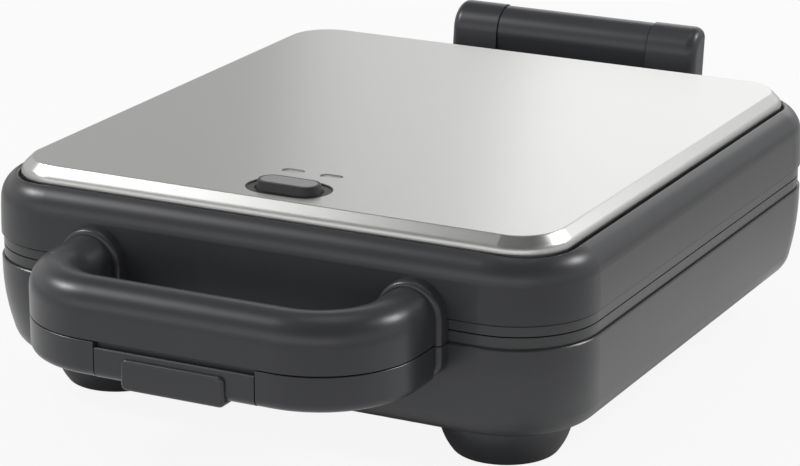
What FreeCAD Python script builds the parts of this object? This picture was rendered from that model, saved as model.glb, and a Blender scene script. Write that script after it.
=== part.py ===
import FreeCAD, Part
import math
import os
from FreeCAD import Placement, Rotation, Vector

# Sandwich maker for four slices: base and hinged lid, each with a die-cast plate of deep pockets.
# Millimetres, +Z up, handle towards -Y, hinge towards +Y. Everything is drawn about the middle of
# the body and moved at the end, so that the origin lies under the middle of the whole object.

# Body
BODY_WIDTH = 290.0
BODY_DEPTH = 306.8
BODY_CORNER = 38.5
WALL = 2.6              # moulded shells
SIDE_STRAIGHT = 4.0     # upright stretch of a side wall beside the bands
SIDE_BOW = 200.0        # radius of the gentle curve of the side walls
CORNER_SPREAD = 1.6     # growth of the base's corner radius for each millimetre its wall leans in
BOW_STEPS = 4           # outlines that the base's bowed wall runs through
BASE_HEIGHT = 42.9
BASE_ROUND = 12.5       # bottom edge of the base
LID_HEIGHT = 28.8
LID_ROUND = 13.0        # shoulder of the lid
EDGE_BREAK = 0.5        # small bevel on the shells' open edges

# Bands between the two shells
BASE_BAND = 5.5
LID_BAND = 4.9
BAND_INSET = 1.0
BAND_GAP = 0.6          # between the two bands
BASE_GROOVE = 0.9       # shadow line between a band and its shell
LID_GROOVE = 0.5
GROOVE_DEPTH = 1.6
FRAME_WALL = 2.2
TONGUE = 5.0            # length of the band's tongue inside its shell
FIT = 0.25              # room round a piece that is set into another
PANEL_THICK = 1.6       # lid's plain front between the collars, over the band

# Cooking plates
PLATE_INSET = 14.0      # rim of the plate from the body's side
PLATE_GAP = 0.8         # between the two plates
PLATE_RIM = 3.2
PLATE_LEDGE = 4.0       # width of the frame's ledge behind the rim
PLATE_WALL = 3.2
POCKET_DEPTH = 16.0
POCKET_RIDGE = 6.0
POCKET_CORNER = 16.0
POCKET_ROUND = 9.0
CUTTER_HEIGHT = 6.0     # diagonal ridge that cuts the sandwich
CUTTER_WIDTH = 10.0
PLATE_BOSS_X = 45.0     # front pair
PLATE_BOSS_REAR_X = 30.0
PLATE_BOSS_Y = 113.0
PLATE_BOSS_RADIUS = 5.0

# Heating
ELEMENT_RADIUS = 3.25
ELEMENT_SEAT = 1.5      # depth of the element's groove in the plate
ELEMENT_X = 75.0
ELEMENT_Y = 83.0
ELEMENT_BEND = 25.0
ELEMENT_ENDS = 20.0     # half the space between the element's ends
REFLECTOR_SPACE = 2.0   # between the element and the reflector
REFLECTOR_SHEET = 0.8
REFLECTOR_CLEAR = 9.5   # between the reflector and the wall of the lid's deck
REFLECTOR_LIP = 5.5
THERMOSTAT_RADIUS = 8.0
THERMOSTAT_HEIGHT = 6.0
FUSE_RADIUS = 2.0
FUSE_LENGTH = 14.0
FUSE_X = 32.0
TERMINAL_SIZE = (34.0, 14.0, 15.0)
TERMINAL_Y = 122.0

# Lid top
TOP_INSET = 15.9        # flat of the stainless plate from the body's side
TOP_CORNER = 19.5
TOP_BEVEL = 4.9
TOP_BEND = 0.8          # outer radius of the fold round the flat
TOP_FOLD = 4.5          # outer radius of the fold above the skirt
TOP_SHEET = 0.8
TOP_RISE = 5.9          # flat of the plate above the lid's shoulder
TOP_MOAT = 1.0          # groove round the plate
MOAT_RIM = 1.4          # round on the groove's outer rim
MOAT_FLOOR = 4.7        # floor of that groove below the shoulder
DECK_INSET = 2.0        # deck under the plate, from the edge of its flat

# Push button and lamps
BUTTON_Y = -119.6
DISH_LENGTH = 40.0
DISH_WIDTH = 24.8
DISH_DEPTH = 0.6
DISH_WALL = 0.5
DISH_SINK = 0.3         # rim of the dish below the plate
DISH_FLOOR = 1.5
BUTTON_LENGTH = 29.2
BUTTON_WIDTH = 12.4
BUTTON_RISE = 3.0       # above the plate
BUTTON_FLARE = 1.25     # each side, at its foot
BUTTON_FLARE_DROP = 3.9
BUTTON_FLANGE = 1.8     # each side, under the dish
BUTTON_FLANGE_HEIGHT = 1.2
BUTTON_STEM = 1.4
BUTTON_TRAVEL = 2.0
BUTTON_ROOM = 0.3
INLAY_MARGIN = 1.25
INLAY_HEIGHT = 0.9
LAMP_SPACE = 19.1       # between the two lamps
LAMP_SHIFT = -1.4       # their middle from the body's middle
LAMP_Y = -96.0
LENS_LENGTH = 10.7
LENS_WIDTH = 5.6
LENS_SINK = 0.6
LED_RADIUS = 1.5
LED_HEIGHT = 2.0
BOARD_SIZE = (60.0, 46.0, 1.6)
BOARD_Y = -108.0
BOARD_POST_EDGE = 5.0   # post from the board's end
BOARD_POST_RADIUS = 3.0
BOARD_PIN_RADIUS = 1.5
SWITCH_WIDTH = 6.0
SWITCH_HEIGHT = 1.7
CLEAR = 0.1             # round inserts

# Handle
HANDLE_WIDTH = 180.0
HANDLE_FRONT = 219.0    # front face from the middle of the body
HANDLE_CORNER = 44.5    # outer corner, seen from above
HANDLE_BAR = 24.5       # width of the grip
HANDLE_UPPER = 23.8     # crest above the handle's parting line
HANDLE_LOWER = 16.3
HANDLE_GAP = 0.5        # between the two halves
HANDLE_EDGE = 4.0       # lower edges
HANDLE_SEAM_EDGE = 0.2
COLLAR_MARGIN = 3.0     # collar round each leg
COLLAR_CROWN = 2.4      # collar's crest above the handle's
COLLAR_REACH = 6.6      # how far it stands out
COLLAR_LOW = 1.8        # collar's foot above the handle's underside
COLLAR_ROUND = 2.2
COLLAR_ROOT = 12.0      # how deep the collar is rooted behind the wall
BAND_CLEAR = 0.6        # between the lid's collar and the base's band

# Latch
LATCH_WIDTH = 77.2
LATCH_SIDE_GAP = 0.5
LATCH_THICK = 3.6
LATCH_EDGE = 0.5        # bevel on the plate's top edge
LATCH_TOP_GAP = 2.5
LATCH_STEP = 2.8        # lip at the top of the plate, behind its face
LATCH_LIP_GAP = 0.5     # top of that lip below the seam
LATCH_DEPTH = 16.0      # room behind the handle's front face
TAB_WIDTH = 49.2
TAB_HEIGHT = 13.5
TAB_PROUD = 1.7
TAB_DROP = 2.3          # tab below the handle's underside
TAB_DEPTH = 8.2         # length of its lower lip
TAB_LIP = 4.0           # height of that lip
TAB_CORNER = 2.6
TAB_EDGE = 1.5
LATCH_PIN_RADIUS = 1.5
LATCH_PIN_BACK = 9.0    # pin behind the handle's front face
LATCH_PIN_DOWN = 8.3    # pin below the handle's parting line
LATCH_PIN_END = 4.0     # pin's end in the handle's cheek
KNUCKLE_RADIUS = 3.6
KNUCKLE_WIDTH = 12.0
KNUCKLE_X = 28.0
HOOK_WIDTH = 20.0
HOOK_THICK = 2.5
HOOK_NOSE = 2.2         # nose in front of the hook's stem
HOOK_NOSE_HEIGHT = 3.0
CATCH_HEIGHT = 3.0
CATCH_RISE = 3.2        # catch above the handle's parting line
CATCH_DEPTH = 3.0
CATCH_ROOM = 1.0        # between the released nose and the catch
CATCH_WALL = 3.5
PIN_FIT = 0.05

# Hinge
HINGE_BACK = 30.8       # axis behind the body's back
HINGE_RISE = 1.9        # axis above the stainless plate
HINGE_CREST = 8.3       # top of the hinge above the axis
HINGE_REACH = 9.2       # rear of the hinge behind the axis
HINGE_FRONT_ROUND = 13.6
HINGE_REAR_ROUND = 5.4
BARREL_WIDTH = 82.0
BARREL_GAP = 0.5        # between the barrel and a post
BARREL_STEP = 0.6       # barrel's skin below the posts'
POST_WIDTH = 26.0
POST_LEAN = 7.0         # degrees
POST_EDGE = 5.0         # pillow-like round of the outer ends
POST_HEEL = 10.0        # lower rear corner
POST_FOOT_LOW = 8.0     # foot of the post above the base's underside
POST_FOOT_HIGH = 8.0    # top of that foot below the base's open edge
POST_SHELF = 6.0        # radius from the foot into the post
AXLE_RADIUS = 3.0
AXLE_END = 16.0         # axle's length in each post
ARM_LOW = 4.5           # arm's root above the lid's open edge
ARM_TOP = 19.0          # arm's upper face below the axis
ARM_HOLLOW = 5.0        # radius between that face and the upright face under the barrel
ARM_KNEE = 10.0         # level part of the arm's underside behind the lid
ARM_REAR = 4.0          # where the arm's underside meets the barrel's rear, below the axis

# Feet, cord gland and screws
FOOT_HEIGHT = 19.6
FOOT_SIDE = 47.3        # front feet from the body's side
FOOT_REAR_SIDE = 71.0   # rear feet from the body's side
FOOT_END = 47.9         # feet from the body's front or back
FOOT_TOP_RADIUS = 29.4
FOOT_FULLNESS = 1.55    # radius of the bowl's side over its height
FOOT_ROUND = 3.0
FOOT_WALL = 3.0
FOOT_BOSS = 6.0
PAD_RADIUS = 15.0
PAD_THICK = 2.2
PAD_PROUD = 0.6
VENT_ROWS = 5           # slots under each half of the base
VENT_PITCH = 9.0
VENT_LENGTH = 40.0
VENT_WIDTH = 3.5
VENT_X = 45.0
GLAND_Z = 41.0
GLAND_RADIUS = 7.0
GLAND_BORE = 3.7
GLAND_FLANGE = 3.0
GLAND_REACH = 5.0
GLAND_INSIDE = 7.0
SCREW_RADIUS = 1.9
SCREW_HEAD = 3.2
SCREW_HEAD_HEIGHT = 2.2
SCREW_ROOM = 0.15
SCREW_THREAD = 0.02
SCREW_BITE = 10.0       # length in the piece that is held
SCREW_POCKET = 6.0
SCREW_WALL = 2.6        # plastic round a screw in its boss

# Heights and places that follow from the sizes above
UP = Vector(0, 0, 1)
BACK = Vector(0, 1, 0)
HALF_X = BODY_WIDTH / 2
HALF_Y = BODY_DEPTH / 2
BASE_Z = FOOT_HEIGHT
BASE_TOP = BASE_Z + BASE_HEIGHT
PART_Z = BASE_TOP + BASE_BAND
LID_Z = PART_Z + LID_BAND
SHOULDER_Z = LID_Z + LID_HEIGHT
TOP_Z = SHOULDER_Z + TOP_RISE
MOAT_Z = SHOULDER_Z - MOAT_FLOOR
TOP_HALF_X = HALF_X - TOP_INSET
TOP_HALF_Y = HALF_Y - TOP_INSET
DECK_TOP = TOP_Z - TOP_SHEET
DECK_LOW = DECK_TOP - WALL
FLOOR_Z = BASE_Z + WALL
HINGE_Y = HALF_Y + HINGE_BACK
HINGE_Z = TOP_Z + HINGE_RISE
HINGE_TOP_Y = HINGE_Y + HINGE_REACH - HINGE_REAR_ROUND
HINGE_TOP_Z = HINGE_Z + HINGE_CREST
HINGE_HALF = BARREL_WIDTH / 2 + BARREL_GAP + POST_WIDTH
FRONT_REACH = HANDLE_FRONT + TAB_PROUD
REAR_REACH = HINGE_Y + HINGE_REACH
MIDDLE = Vector(0, (FRONT_REACH - REAR_REACH) / 2, 0)
PLATE_FAR = PLATE_GAP / 2 + POCKET_DEPTH + PLATE_WALL
ELEMENT_AT = PLATE_FAR + ELEMENT_RADIUS - ELEMENT_SEAT
REFLECTOR_AT = ELEMENT_AT + ELEMENT_RADIUS + REFLECTOR_SPACE
REFLECTOR_FAR = REFLECTOR_AT + REFLECTOR_SHEET
REFLECTOR_INSET = TOP_INSET + DECK_INSET + WALL + REFLECTOR_CLEAR
BOSS_RADIUS = SCREW_HEAD + SCREW_WALL
LEG_X = (HANDLE_WIDTH - HANDLE_BAR) / 2
COLLAR_Y = HALF_Y + COLLAR_REACH
COLLAR_HALF = HANDLE_BAR / 2 + COLLAR_MARGIN
PANEL_HALF = LEG_X - COLLAR_HALF + COLLAR_ROUND
SEAM_LOW = BASE_TOP - HANDLE_GAP / 2
SEAM_HIGH = BASE_TOP + HANDLE_GAP / 2
HANDLE_LOW = BASE_TOP - HANDLE_LOWER
CREST_Z = BASE_TOP + HANDLE_UPPER
PIN_Y = -(HANDLE_FRONT - LATCH_PIN_BACK)
PIN_Z = BASE_TOP - LATCH_PIN_DOWN
BEZEL_TOP = TOP_Z - DISH_SINK
BEZEL_LOW = TOP_Z - DISH_DEPTH - DISH_FLOOR
BUTTON_TOP = TOP_Z + BUTTON_RISE
BUTTON_FLARE_LOW = BUTTON_TOP - BUTTON_FLARE_DROP
FLANGE_TOP = BEZEL_LOW - BUTTON_ROOM
STEM_LOW = FLANGE_TOP - BUTTON_FLANGE_HEIGHT - BUTTON_STEM
SWITCH_TOP = STEM_LOW - BUTTON_TRAVEL - BUTTON_ROOM
BOARD_TOP = SWITCH_TOP - SWITCH_HEIGHT
LENS_LOW = BOARD_TOP + LED_HEIGHT + BUTTON_ROOM
LAMPS_X = (LAMP_SHIFT - LAMP_SPACE / 2, LAMP_SHIFT + LAMP_SPACE / 2)
BOARD_POST_X = BOARD_SIZE[0] / 2 - BOARD_POST_EDGE


def moved(shape, x=0, y=0, z=0):
    """Copy of a shape, shifted."""
    copy = shape.copy()
    copy.translate(Vector(x, y, z))
    return copy


def joined(shapes):
    """One solid from several that touch or overlap."""
    return shapes[0].fuse(list(shapes[1:])).removeSplitter()


def mirrored_pair(shape):
    """A shape on the right and its mirror image on the left."""
    return [shape, shape.mirror(Vector(), Vector(1, 0, 0))]


def line(start, end):
    """Straight edge in the XZ plane."""
    return Part.makeLine(Vector(start[0], 0, start[1]), Vector(end[0], 0, end[1]))


def arc(centre, radius, start, end):
    """Edge of a circle in the XZ plane, between two angles in degrees."""
    points = []
    for angle in (start, (start + end) / 2, end):
        turn = math.radians(angle)
        points.append(Vector(centre[0] + radius * math.cos(turn), 0, centre[1] + radius * math.sin(turn)))
    return Part.Arc(*points).toShape()


def face_of(edges):
    """Flat face inside a closed row of edges."""
    return Part.Face(Part.Wire(Part.__sortEdges__(edges)))


def polygon(points):
    """Flat face in the XZ plane through a row of corners."""
    return face_of([line(points[i - 1], points[i]) for i in range(len(points))])


def along_x(face, start, end):
    """Solid that carries a section drawn in the XZ plane along X, its own x lying along Y."""
    section = face.copy()
    section.rotate(Vector(), UP, 90)
    section.translate(Vector(start, 0, 0))
    return section.extrude(Vector(end - start, 0, 0))


def rounded_outline(half_x, half_y, corner, z):
    """Wire of a rounded rectangle, lying flat."""
    edges = []
    ends = []
    for quarter, (x, y) in enumerate(((1, 1), (-1, 1), (-1, -1), (1, -1))):
        centre = Vector(x * (half_x - corner), y * (half_y - corner), z)
        points = []
        for angle in (0, 45, 90):
            turn = math.radians(90 * quarter + angle)
            points.append(centre + Vector(corner * math.cos(turn), corner * math.sin(turn), 0))
        edges.append(Part.Arc(*points).toShape())
        ends.append((points[0], points[2]))
    for quarter in range(4):
        start, end = ends[quarter - 1][1], ends[quarter][0]
        if start.distanceToPoint(end) > 1e-6:
            edges.append(Part.makeLine(start, end))
    return Part.Wire(Part.__sortEdges__(edges))


def rounded_prism(half_x, half_y, corner, low, high):
    """Upright block with a rounded rectangle for its plan."""
    return Part.Face(rounded_outline(half_x, half_y, corner, low)).extrude(Vector(0, 0, high - low))


def tapered_prism(low_half, low_corner, low, high_half, high_corner, high):
    """Upright block whose rounded-rectangle plan changes evenly with height."""
    wires = [rounded_outline(*low_half, low_corner, low), rounded_outline(*high_half, high_corner, high)]
    return Part.makeLoft(wires, True, True)


def stadium(length, width, low, high):
    """Upright block with two straight sides and round ends, long along X."""
    return rounded_prism(length / 2, width / 2, width / 2, low, high)


def body_prism(inset, low, high):
    """Block that follows the body's plan, a given way in from its side."""
    return rounded_prism(HALF_X - inset, HALF_Y - inset, BODY_CORNER - inset, low, high)


def body_ring(outer_inset, inner_inset, low, high):
    """Ring that follows the body's plan between two insets."""
    return body_prism(outer_inset, low, high).cut(body_prism(inner_inset, low, high))


def cylinder(radius, low, high, x=0, y=0):
    """Upright cylinder."""
    return Part.makeCylinder(radius, high - low, Vector(x, y, low), UP)


def aimed(shape, place, towards):
    """Copy of a shape drawn about the origin along +Z, set at a place and turned along a direction."""
    copy = shape.copy()
    copy.Placement = Placement(place, Rotation(UP, towards))
    return copy


def screw(seat, towards, length):
    """Round-headed screw whose head rests on its seat and whose shank points along a direction."""
    shank = cylinder(SCREW_RADIUS, 0, length)
    head = cylinder(SCREW_HEAD, -SCREW_HEAD_HEIGHT, 0)
    rim = [edge for edge in head.Edges if edge.BoundBox.ZMax < -SCREW_HEAD_HEIGHT / 2 and edge.Closed]
    return aimed(joined([shank, head.makeFillet(SCREW_HEAD_HEIGHT / 3, rim)]), seat, towards)


def screw_room(seat, towards, length):
    """Space that a screw needs in the piece under its head."""
    shank = cylinder(SCREW_RADIUS + SCREW_ROOM, 0, length)
    head = cylinder(SCREW_HEAD + SCREW_ROOM, -SCREW_POCKET, 0)
    return aimed(joined([shank, head]), seat, towards)


def screw_hole(seat, towards, length):
    """Threaded hole in the piece that a screw holds."""
    return aimed(cylinder(SCREW_RADIUS + SCREW_THREAD, 0, length + SCREW_RADIUS), seat, towards)


# Moulded shells

def wall_outline(edge_z, flat_z, rounding, skin):
    """Section of a bowed wall from its open edge to a flat, x measured from the axis of the corner."""
    away = 1 if flat_z > edge_z else -1
    bow_x, bow_z = BODY_CORNER - SIDE_BOW, edge_z + away * SIDE_STRAIGHT
    round_z = flat_z - away * rounding
    round_x = bow_x + math.sqrt((SIDE_BOW - rounding) ** 2 - (round_z - bow_z) ** 2)
    lean = math.degrees(math.atan2(round_z - bow_z, round_x - bow_x))
    outer = BODY_CORNER - skin
    flat = flat_z - away * skin
    return face_of([
        line((0, edge_z), (outer, edge_z)),
        line((outer, edge_z), (outer, bow_z)),
        arc((bow_x, bow_z), SIDE_BOW - skin, 0, lean),
        arc((round_x, round_z), rounding - skin, lean, 90 * away),
        line((round_x, flat), (0, flat)),
        line((0, flat), (0, edge_z)),
    ])


def swept_block(section):
    """Block with the same wall section all round the body's rounded rectangle."""
    core_x, core_y = HALF_X - BODY_CORNER, HALF_Y - BODY_CORNER
    heights = [vertex.Z for vertex in section.Vertexes]
    low, high = min(heights), max(heights)
    solids = [Part.makeBox(2 * core_x, 2 * core_y, high - low, Vector(-core_x, -core_y, low))]
    quarter = section.revolve(Vector(), UP, 90)
    corners = ((1, 1), (-1, 1), (-1, -1), (1, -1))
    for turn, (x, y) in enumerate(corners):
        run = 2 * (core_y if turn % 2 == 0 else core_x)
        side_x, side_y = corners[turn - 1]
        for solid, at_x, at_y in ((quarter, x, y), (section.extrude(Vector(0, run, 0)), side_x, side_y)):
            piece = solid.copy()
            piece.rotate(Vector(), UP, 90 * turn)
            solids.append(moved(piece, at_x * core_x, at_y * core_y))
    return joined(solids)


def wall_lean(drop):
    """How far a bowed wall has come in, a given way from its open edge."""
    bowed = max(drop - SIDE_STRAIGHT, 0)
    return SIDE_BOW - math.sqrt(SIDE_BOW ** 2 - bowed ** 2)


def base_block(skin):
    """Base without its hollow: bowed walls, corners that grow rounder downwards, rounded bottom edge."""
    height = BASE_HEIGHT - skin
    step = (height - SIDE_STRAIGHT) / BOW_STEPS
    outlines = []
    for drop in [0] + [SIDE_STRAIGHT + step * i for i in range(BOW_STEPS + 1)]:
        lean = wall_lean(drop)
        corner = BODY_CORNER + CORNER_SPREAD * lean - skin
        outlines.append(rounded_outline(HALF_X - lean - skin, HALF_Y - lean - skin, corner, BASE_TOP - drop))
    block = Part.makeLoft(outlines, True, False)
    rim = [edge for edge in block.Edges if edge.BoundBox.ZMax < BASE_TOP - height + 1e-3]
    return block.makeFillet(BASE_ROUND - skin, rim)


def edge_bevel(edge_z, away):
    """Ring that takes the sharp corner off a shell's open edge."""
    straight = body_prism(-EDGE_BREAK, edge_z, edge_z + away * EDGE_BREAK)
    low_half = (HALF_X - EDGE_BREAK, HALF_Y - EDGE_BREAK)
    taper = tapered_prism(low_half, BODY_CORNER - EDGE_BREAK, edge_z,
                          (HALF_X, HALF_Y), BODY_CORNER, edge_z + away * EDGE_BREAK)
    return straight.cut(taper)


def collar(low, high_arch):
    """Block round a handle leg on the body's front, arched on top if it belongs to the lid."""
    half = COLLAR_HALF
    if high_arch:
        spring = CREST_Z + COLLAR_CROWN - half
        top = [line((half, low), (half, spring)), arc((0, spring), half, 0, 180),
               line((-half, spring), (-half, low)), line((-half, low), (half, low))]
    else:
        bend = HANDLE_EDGE + COLLAR_MARGIN
        top = [line((-half, SEAM_LOW), (half, SEAM_LOW)), line((half, SEAM_LOW), (half, low + bend)),
               arc((half - bend, low + bend), bend, 0, -90), line((half - bend, low), (bend - half, low)),
               arc((bend - half, low + bend), bend, 270, 180), line((-half, low + bend), (-half, SEAM_LOW))]
    block = face_of(top).extrude(Vector(0, COLLAR_REACH + COLLAR_ROOT, 0))
    front = [edge for edge in block.Edges if edge.BoundBox.YMax < COLLAR_ROUND
             and not abs(edge.BoundBox.ZMax - (low if high_arch else SEAM_LOW)) < 1e-3]
    return moved(block.makeFillet(COLLAR_ROUND, front), LEG_X, -COLLAR_Y)


BASE_OUTER = base_block(0)
LID_OUTER = swept_block(wall_outline(LID_Z, SHOULDER_Z, LID_ROUND, 0))


def four_places(front_x, rear_x, y):
    """Two places at the front and two at the back, each pair the same way from the middle."""
    return [(-front_x, -y), (front_x, -y), (-rear_x, y), (rear_x, y)]


PLATE_BOSSES = four_places(PLATE_BOSS_X, PLATE_BOSS_REAR_X, PLATE_BOSS_Y)
FEET = four_places(HALF_X - FOOT_SIDE, HALF_X - FOOT_REAR_SIDE, HALF_Y - FOOT_END)


# Pieces that base and lid both have, drawn with z as the distance from the parting plane

def on_base(shape):
    """Copy of a piece of the stack, below the parting plane."""
    return moved(shape.mirror(Vector(), UP), 0, 0, PART_Z)


def on_lid(shape):
    """Copy of a piece of the stack, above the parting plane."""
    return moved(shape, 0, 0, PART_Z)


def band_frame(band, groove):
    """Frame round a cooking plate: visible band, tongue inside the shell and ledge behind the plate."""
    face = BAND_GAP / 2
    tongue = WALL + FIT
    hole = PLATE_INSET - FIT
    ledge = PLATE_GAP / 2 + PLATE_RIM
    return joined([
        body_ring(BAND_INSET, hole, face, face + FRAME_WALL),
        body_ring(BAND_INSET, tongue + FRAME_WALL, face, band - groove),
        body_ring(GROOVE_DEPTH, tongue + FRAME_WALL, face, band),
        body_ring(tongue, tongue + FRAME_WALL, face, band + TONGUE),
        body_ring(hole - FRAME_WALL, hole, face, ledge + FRAME_WALL),
        body_ring(hole - FRAME_WALL, PLATE_INSET + PLATE_LEDGE, ledge, ledge + FRAME_WALL),
    ])


def front_panel(half_x, thick, low, high):
    """Block behind the plane of the body's front, between the collars."""
    return Part.makeBox(2 * half_x, thick, high - low, Vector(-half_x, -HALF_Y, low))


def make_lid_frame():
    """Lid's frame, set back in front to leave room for the shell's plain front."""
    room = front_panel(PANEL_HALF + FIT, PANEL_THICK + FIT, PART_Z, LID_Z)
    return on_lid(band_frame(LID_BAND, LID_GROOVE)).cut(room)


def pocket(half_x, half_y, slant):
    """Space of one sandwich pocket, with its diagonal cutting ridge left standing."""
    near = PLATE_GAP / 2
    far = near + POCKET_DEPTH
    space = rounded_prism(half_x, half_y, POCKET_CORNER, near, far)
    floor_edges = [edge for edge in space.Edges if edge.BoundBox.ZMin > far - 1e-3]
    space = space.makeFillet(POCKET_ROUND, floor_edges)
    reach = math.hypot(half_x, half_y)
    ridge = polygon([(-CUTTER_WIDTH / 2, far), (CUTTER_WIDTH / 2, far), (0, far - CUTTER_HEIGHT)])
    ridge = moved(ridge, 0, -reach).extrude(Vector(0, 2 * reach, 0))
    ridge.rotate(Vector(), UP, -slant * math.degrees(math.atan2(half_x, half_y)))
    return space.cut(ridge)


def element_path():
    """Centre line of a heating element: a rounded rectangle that is open at the back."""
    loop = rounded_outline(ELEMENT_X, ELEMENT_Y, ELEMENT_BEND, ELEMENT_AT)
    edges = [edge for edge in loop.Edges if edge.BoundBox.YMin < ELEMENT_Y - 1e-3]
    for side in (-1, 1):
        start = Vector(side * ELEMENT_ENDS, ELEMENT_Y, ELEMENT_AT)
        edges.append(Part.makeLine(start, Vector(side * (ELEMENT_X - ELEMENT_BEND), ELEMENT_Y, ELEMENT_AT)))
    return Part.Wire(Part.__sortEdges__(edges))


def element(radius):
    """Round rod along the element's centre line."""
    path = element_path()
    start = path.OrderedVertexes[0].Point
    circle = Part.Wire(Part.makeCircle(radius, start, Vector(1, 0, 0)))
    return path.makePipeShell([circle], True, False)


def cooking_plate():
    """Die-cast plate with four deep pockets, a rim, screw bosses and a groove for the element."""
    near = PLATE_GAP / 2
    block_inset = PLATE_INSET + PLATE_LEDGE + FIT
    plate = joined([body_prism(PLATE_INSET, near, near + PLATE_RIM), body_prism(block_inset, near, PLATE_FAR)])
    half_x = (HALF_X - block_inset - PLATE_WALL - POCKET_RIDGE / 2) / 2
    half_y = (HALF_Y - block_inset - PLATE_WALL - POCKET_RIDGE / 2) / 2
    for x in (-1, 1):
        for y in (-1, 1):
            middle_x, middle_y = half_x + POCKET_RIDGE / 2, half_y + POCKET_RIDGE / 2
            plate = plate.cut(moved(pocket(half_x, half_y, x * y), x * middle_x, y * middle_y))
    bosses = [cylinder(PLATE_BOSS_RADIUS, PLATE_FAR - PLATE_WALL / 2, REFLECTOR_AT, x, y)
              for x, y in PLATE_BOSSES]
    plate = joined([plate] + bosses).cut(element(ELEMENT_RADIUS + PIN_FIT))
    for x, y in PLATE_BOSSES:
        plate = plate.cut(cylinder(SCREW_RADIUS + SCREW_THREAD, PLATE_FAR - PLATE_WALL / 3, REFLECTOR_AT, x, y))
    return plate


def reflector():
    """Shallow sheet tray behind the element."""
    tray = joined([body_prism(REFLECTOR_INSET, REFLECTOR_AT, REFLECTOR_FAR),
                   body_ring(REFLECTOR_INSET, REFLECTOR_INSET + REFLECTOR_SHEET,
                             REFLECTOR_FAR - REFLECTOR_LIP, REFLECTOR_FAR)])
    for x, y in PLATE_BOSSES:
        tray = tray.cut(cylinder(SCREW_RADIUS + SCREW_ROOM, REFLECTOR_AT, REFLECTOR_FAR, x, y))
    return tray


def plate_screws(seat):
    """Four long screws that hold a plate, its reflector and its shell together."""
    length = seat - PLATE_FAR
    return [screw(Vector(x, y, seat), -UP, length) for x, y in PLATE_BOSSES]


def plate_screw_room(seat):
    """Space for those screws in a shell."""
    return [screw_room(Vector(x, y, seat), -UP, seat - REFLECTOR_FAR) for x, y in PLATE_BOSSES]


BASE_SCREW_SEAT = PART_Z - FLOOR_Z
LID_SCREW_SEAT = DECK_LOW - PART_Z


# Screws that enter from inside the shells

def wall_inside(edge_z, z):
    """Distance of a shell's inner face from the middle plane, at a height, on its front or back."""
    return HALF_Y - WALL - wall_lean(abs(z - edge_z))


UPPER_LEG_SCREW_Z = LID_Z + TONGUE + SCREW_HEAD + 2 * FIT
LOWER_LEG_SCREW_Z = BASE_TOP - TONGUE - SCREW_HEAD - 2 * FIT
ARM_SCREW_Z = UPPER_LEG_SCREW_Z
POST_SCREW_HIGH = BASE_TOP - POST_FOOT_HIGH - SCREW_RADIUS - SCREW_WALL
POST_SCREW_LOW = POST_SCREW_HIGH - 2 * BOSS_RADIUS
POST_X = HINGE_HALF - POST_WIDTH / 2
UPPER_LEG_SEATS = [Vector(x, -wall_inside(LID_Z, UPPER_LEG_SCREW_Z), UPPER_LEG_SCREW_Z)
                   for x in (-LEG_X, LEG_X)]
LOWER_LEG_SEATS = [Vector(x, -wall_inside(BASE_TOP, LOWER_LEG_SCREW_Z), LOWER_LEG_SCREW_Z)
                   for x in (-LEG_X, LEG_X)]
ARM_SEATS = [Vector(x, wall_inside(LID_Z, ARM_SCREW_Z), ARM_SCREW_Z)
             for x in (-BARREL_WIDTH / 3, 0, BARREL_WIDTH / 3)]
POST_SEATS = [Vector(x, wall_inside(BASE_TOP, z), z)
              for x in (-POST_X, POST_X) for z in (POST_SCREW_LOW, POST_SCREW_HIGH)]
LEG_SCREW = WALL + COLLAR_REACH + SCREW_BITE
BACK_SCREW = WALL + SCREW_BITE
FOOT_SCREW = WALL + SCREW_BITE


def make_base_shell():
    """Open tub with bosses for the plate's screws and collars for the handle's legs."""
    shell = joined([BASE_OUTER] + mirrored_pair(collar(HANDLE_LOW + COLLAR_LOW, False)))
    shell = shell.cut(base_block(WALL))
    shell = shell.cut(edge_bevel(BASE_TOP, -1))
    bosses = [cylinder(BOSS_RADIUS, BASE_Z + WALL / 2, PART_Z - REFLECTOR_FAR, x, y) for x, y in PLATE_BOSSES]
    shell = joined([shell] + bosses)
    rooms = [on_base(room) for room in plate_screw_room(BASE_SCREW_SEAT)]
    rooms += [screw_room(seat, -BACK, LEG_SCREW) for seat in LOWER_LEG_SEATS]
    rooms += [screw_room(seat, BACK, BACK_SCREW) for seat in POST_SEATS]
    rooms += [screw_room(Vector(x, y, FLOOR_Z), -UP, WALL) for x, y in FEET]
    vent = stadium(VENT_LENGTH, VENT_WIDTH, BASE_Z, FLOOR_Z)
    rooms += [moved(vent, x, VENT_PITCH * (row - (VENT_ROWS - 1) / 2))
              for x in (-VENT_X, VENT_X) for row in range(VENT_ROWS)]
    rooms.append(aimed(cylinder(GLAND_RADIUS + CLEAR, 0, 2 * WALL + GLAND_INSIDE),
                       Vector(0, HALF_Y - WALL - GLAND_INSIDE, GLAND_Z), BACK))
    return shell.cut(rooms)


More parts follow.
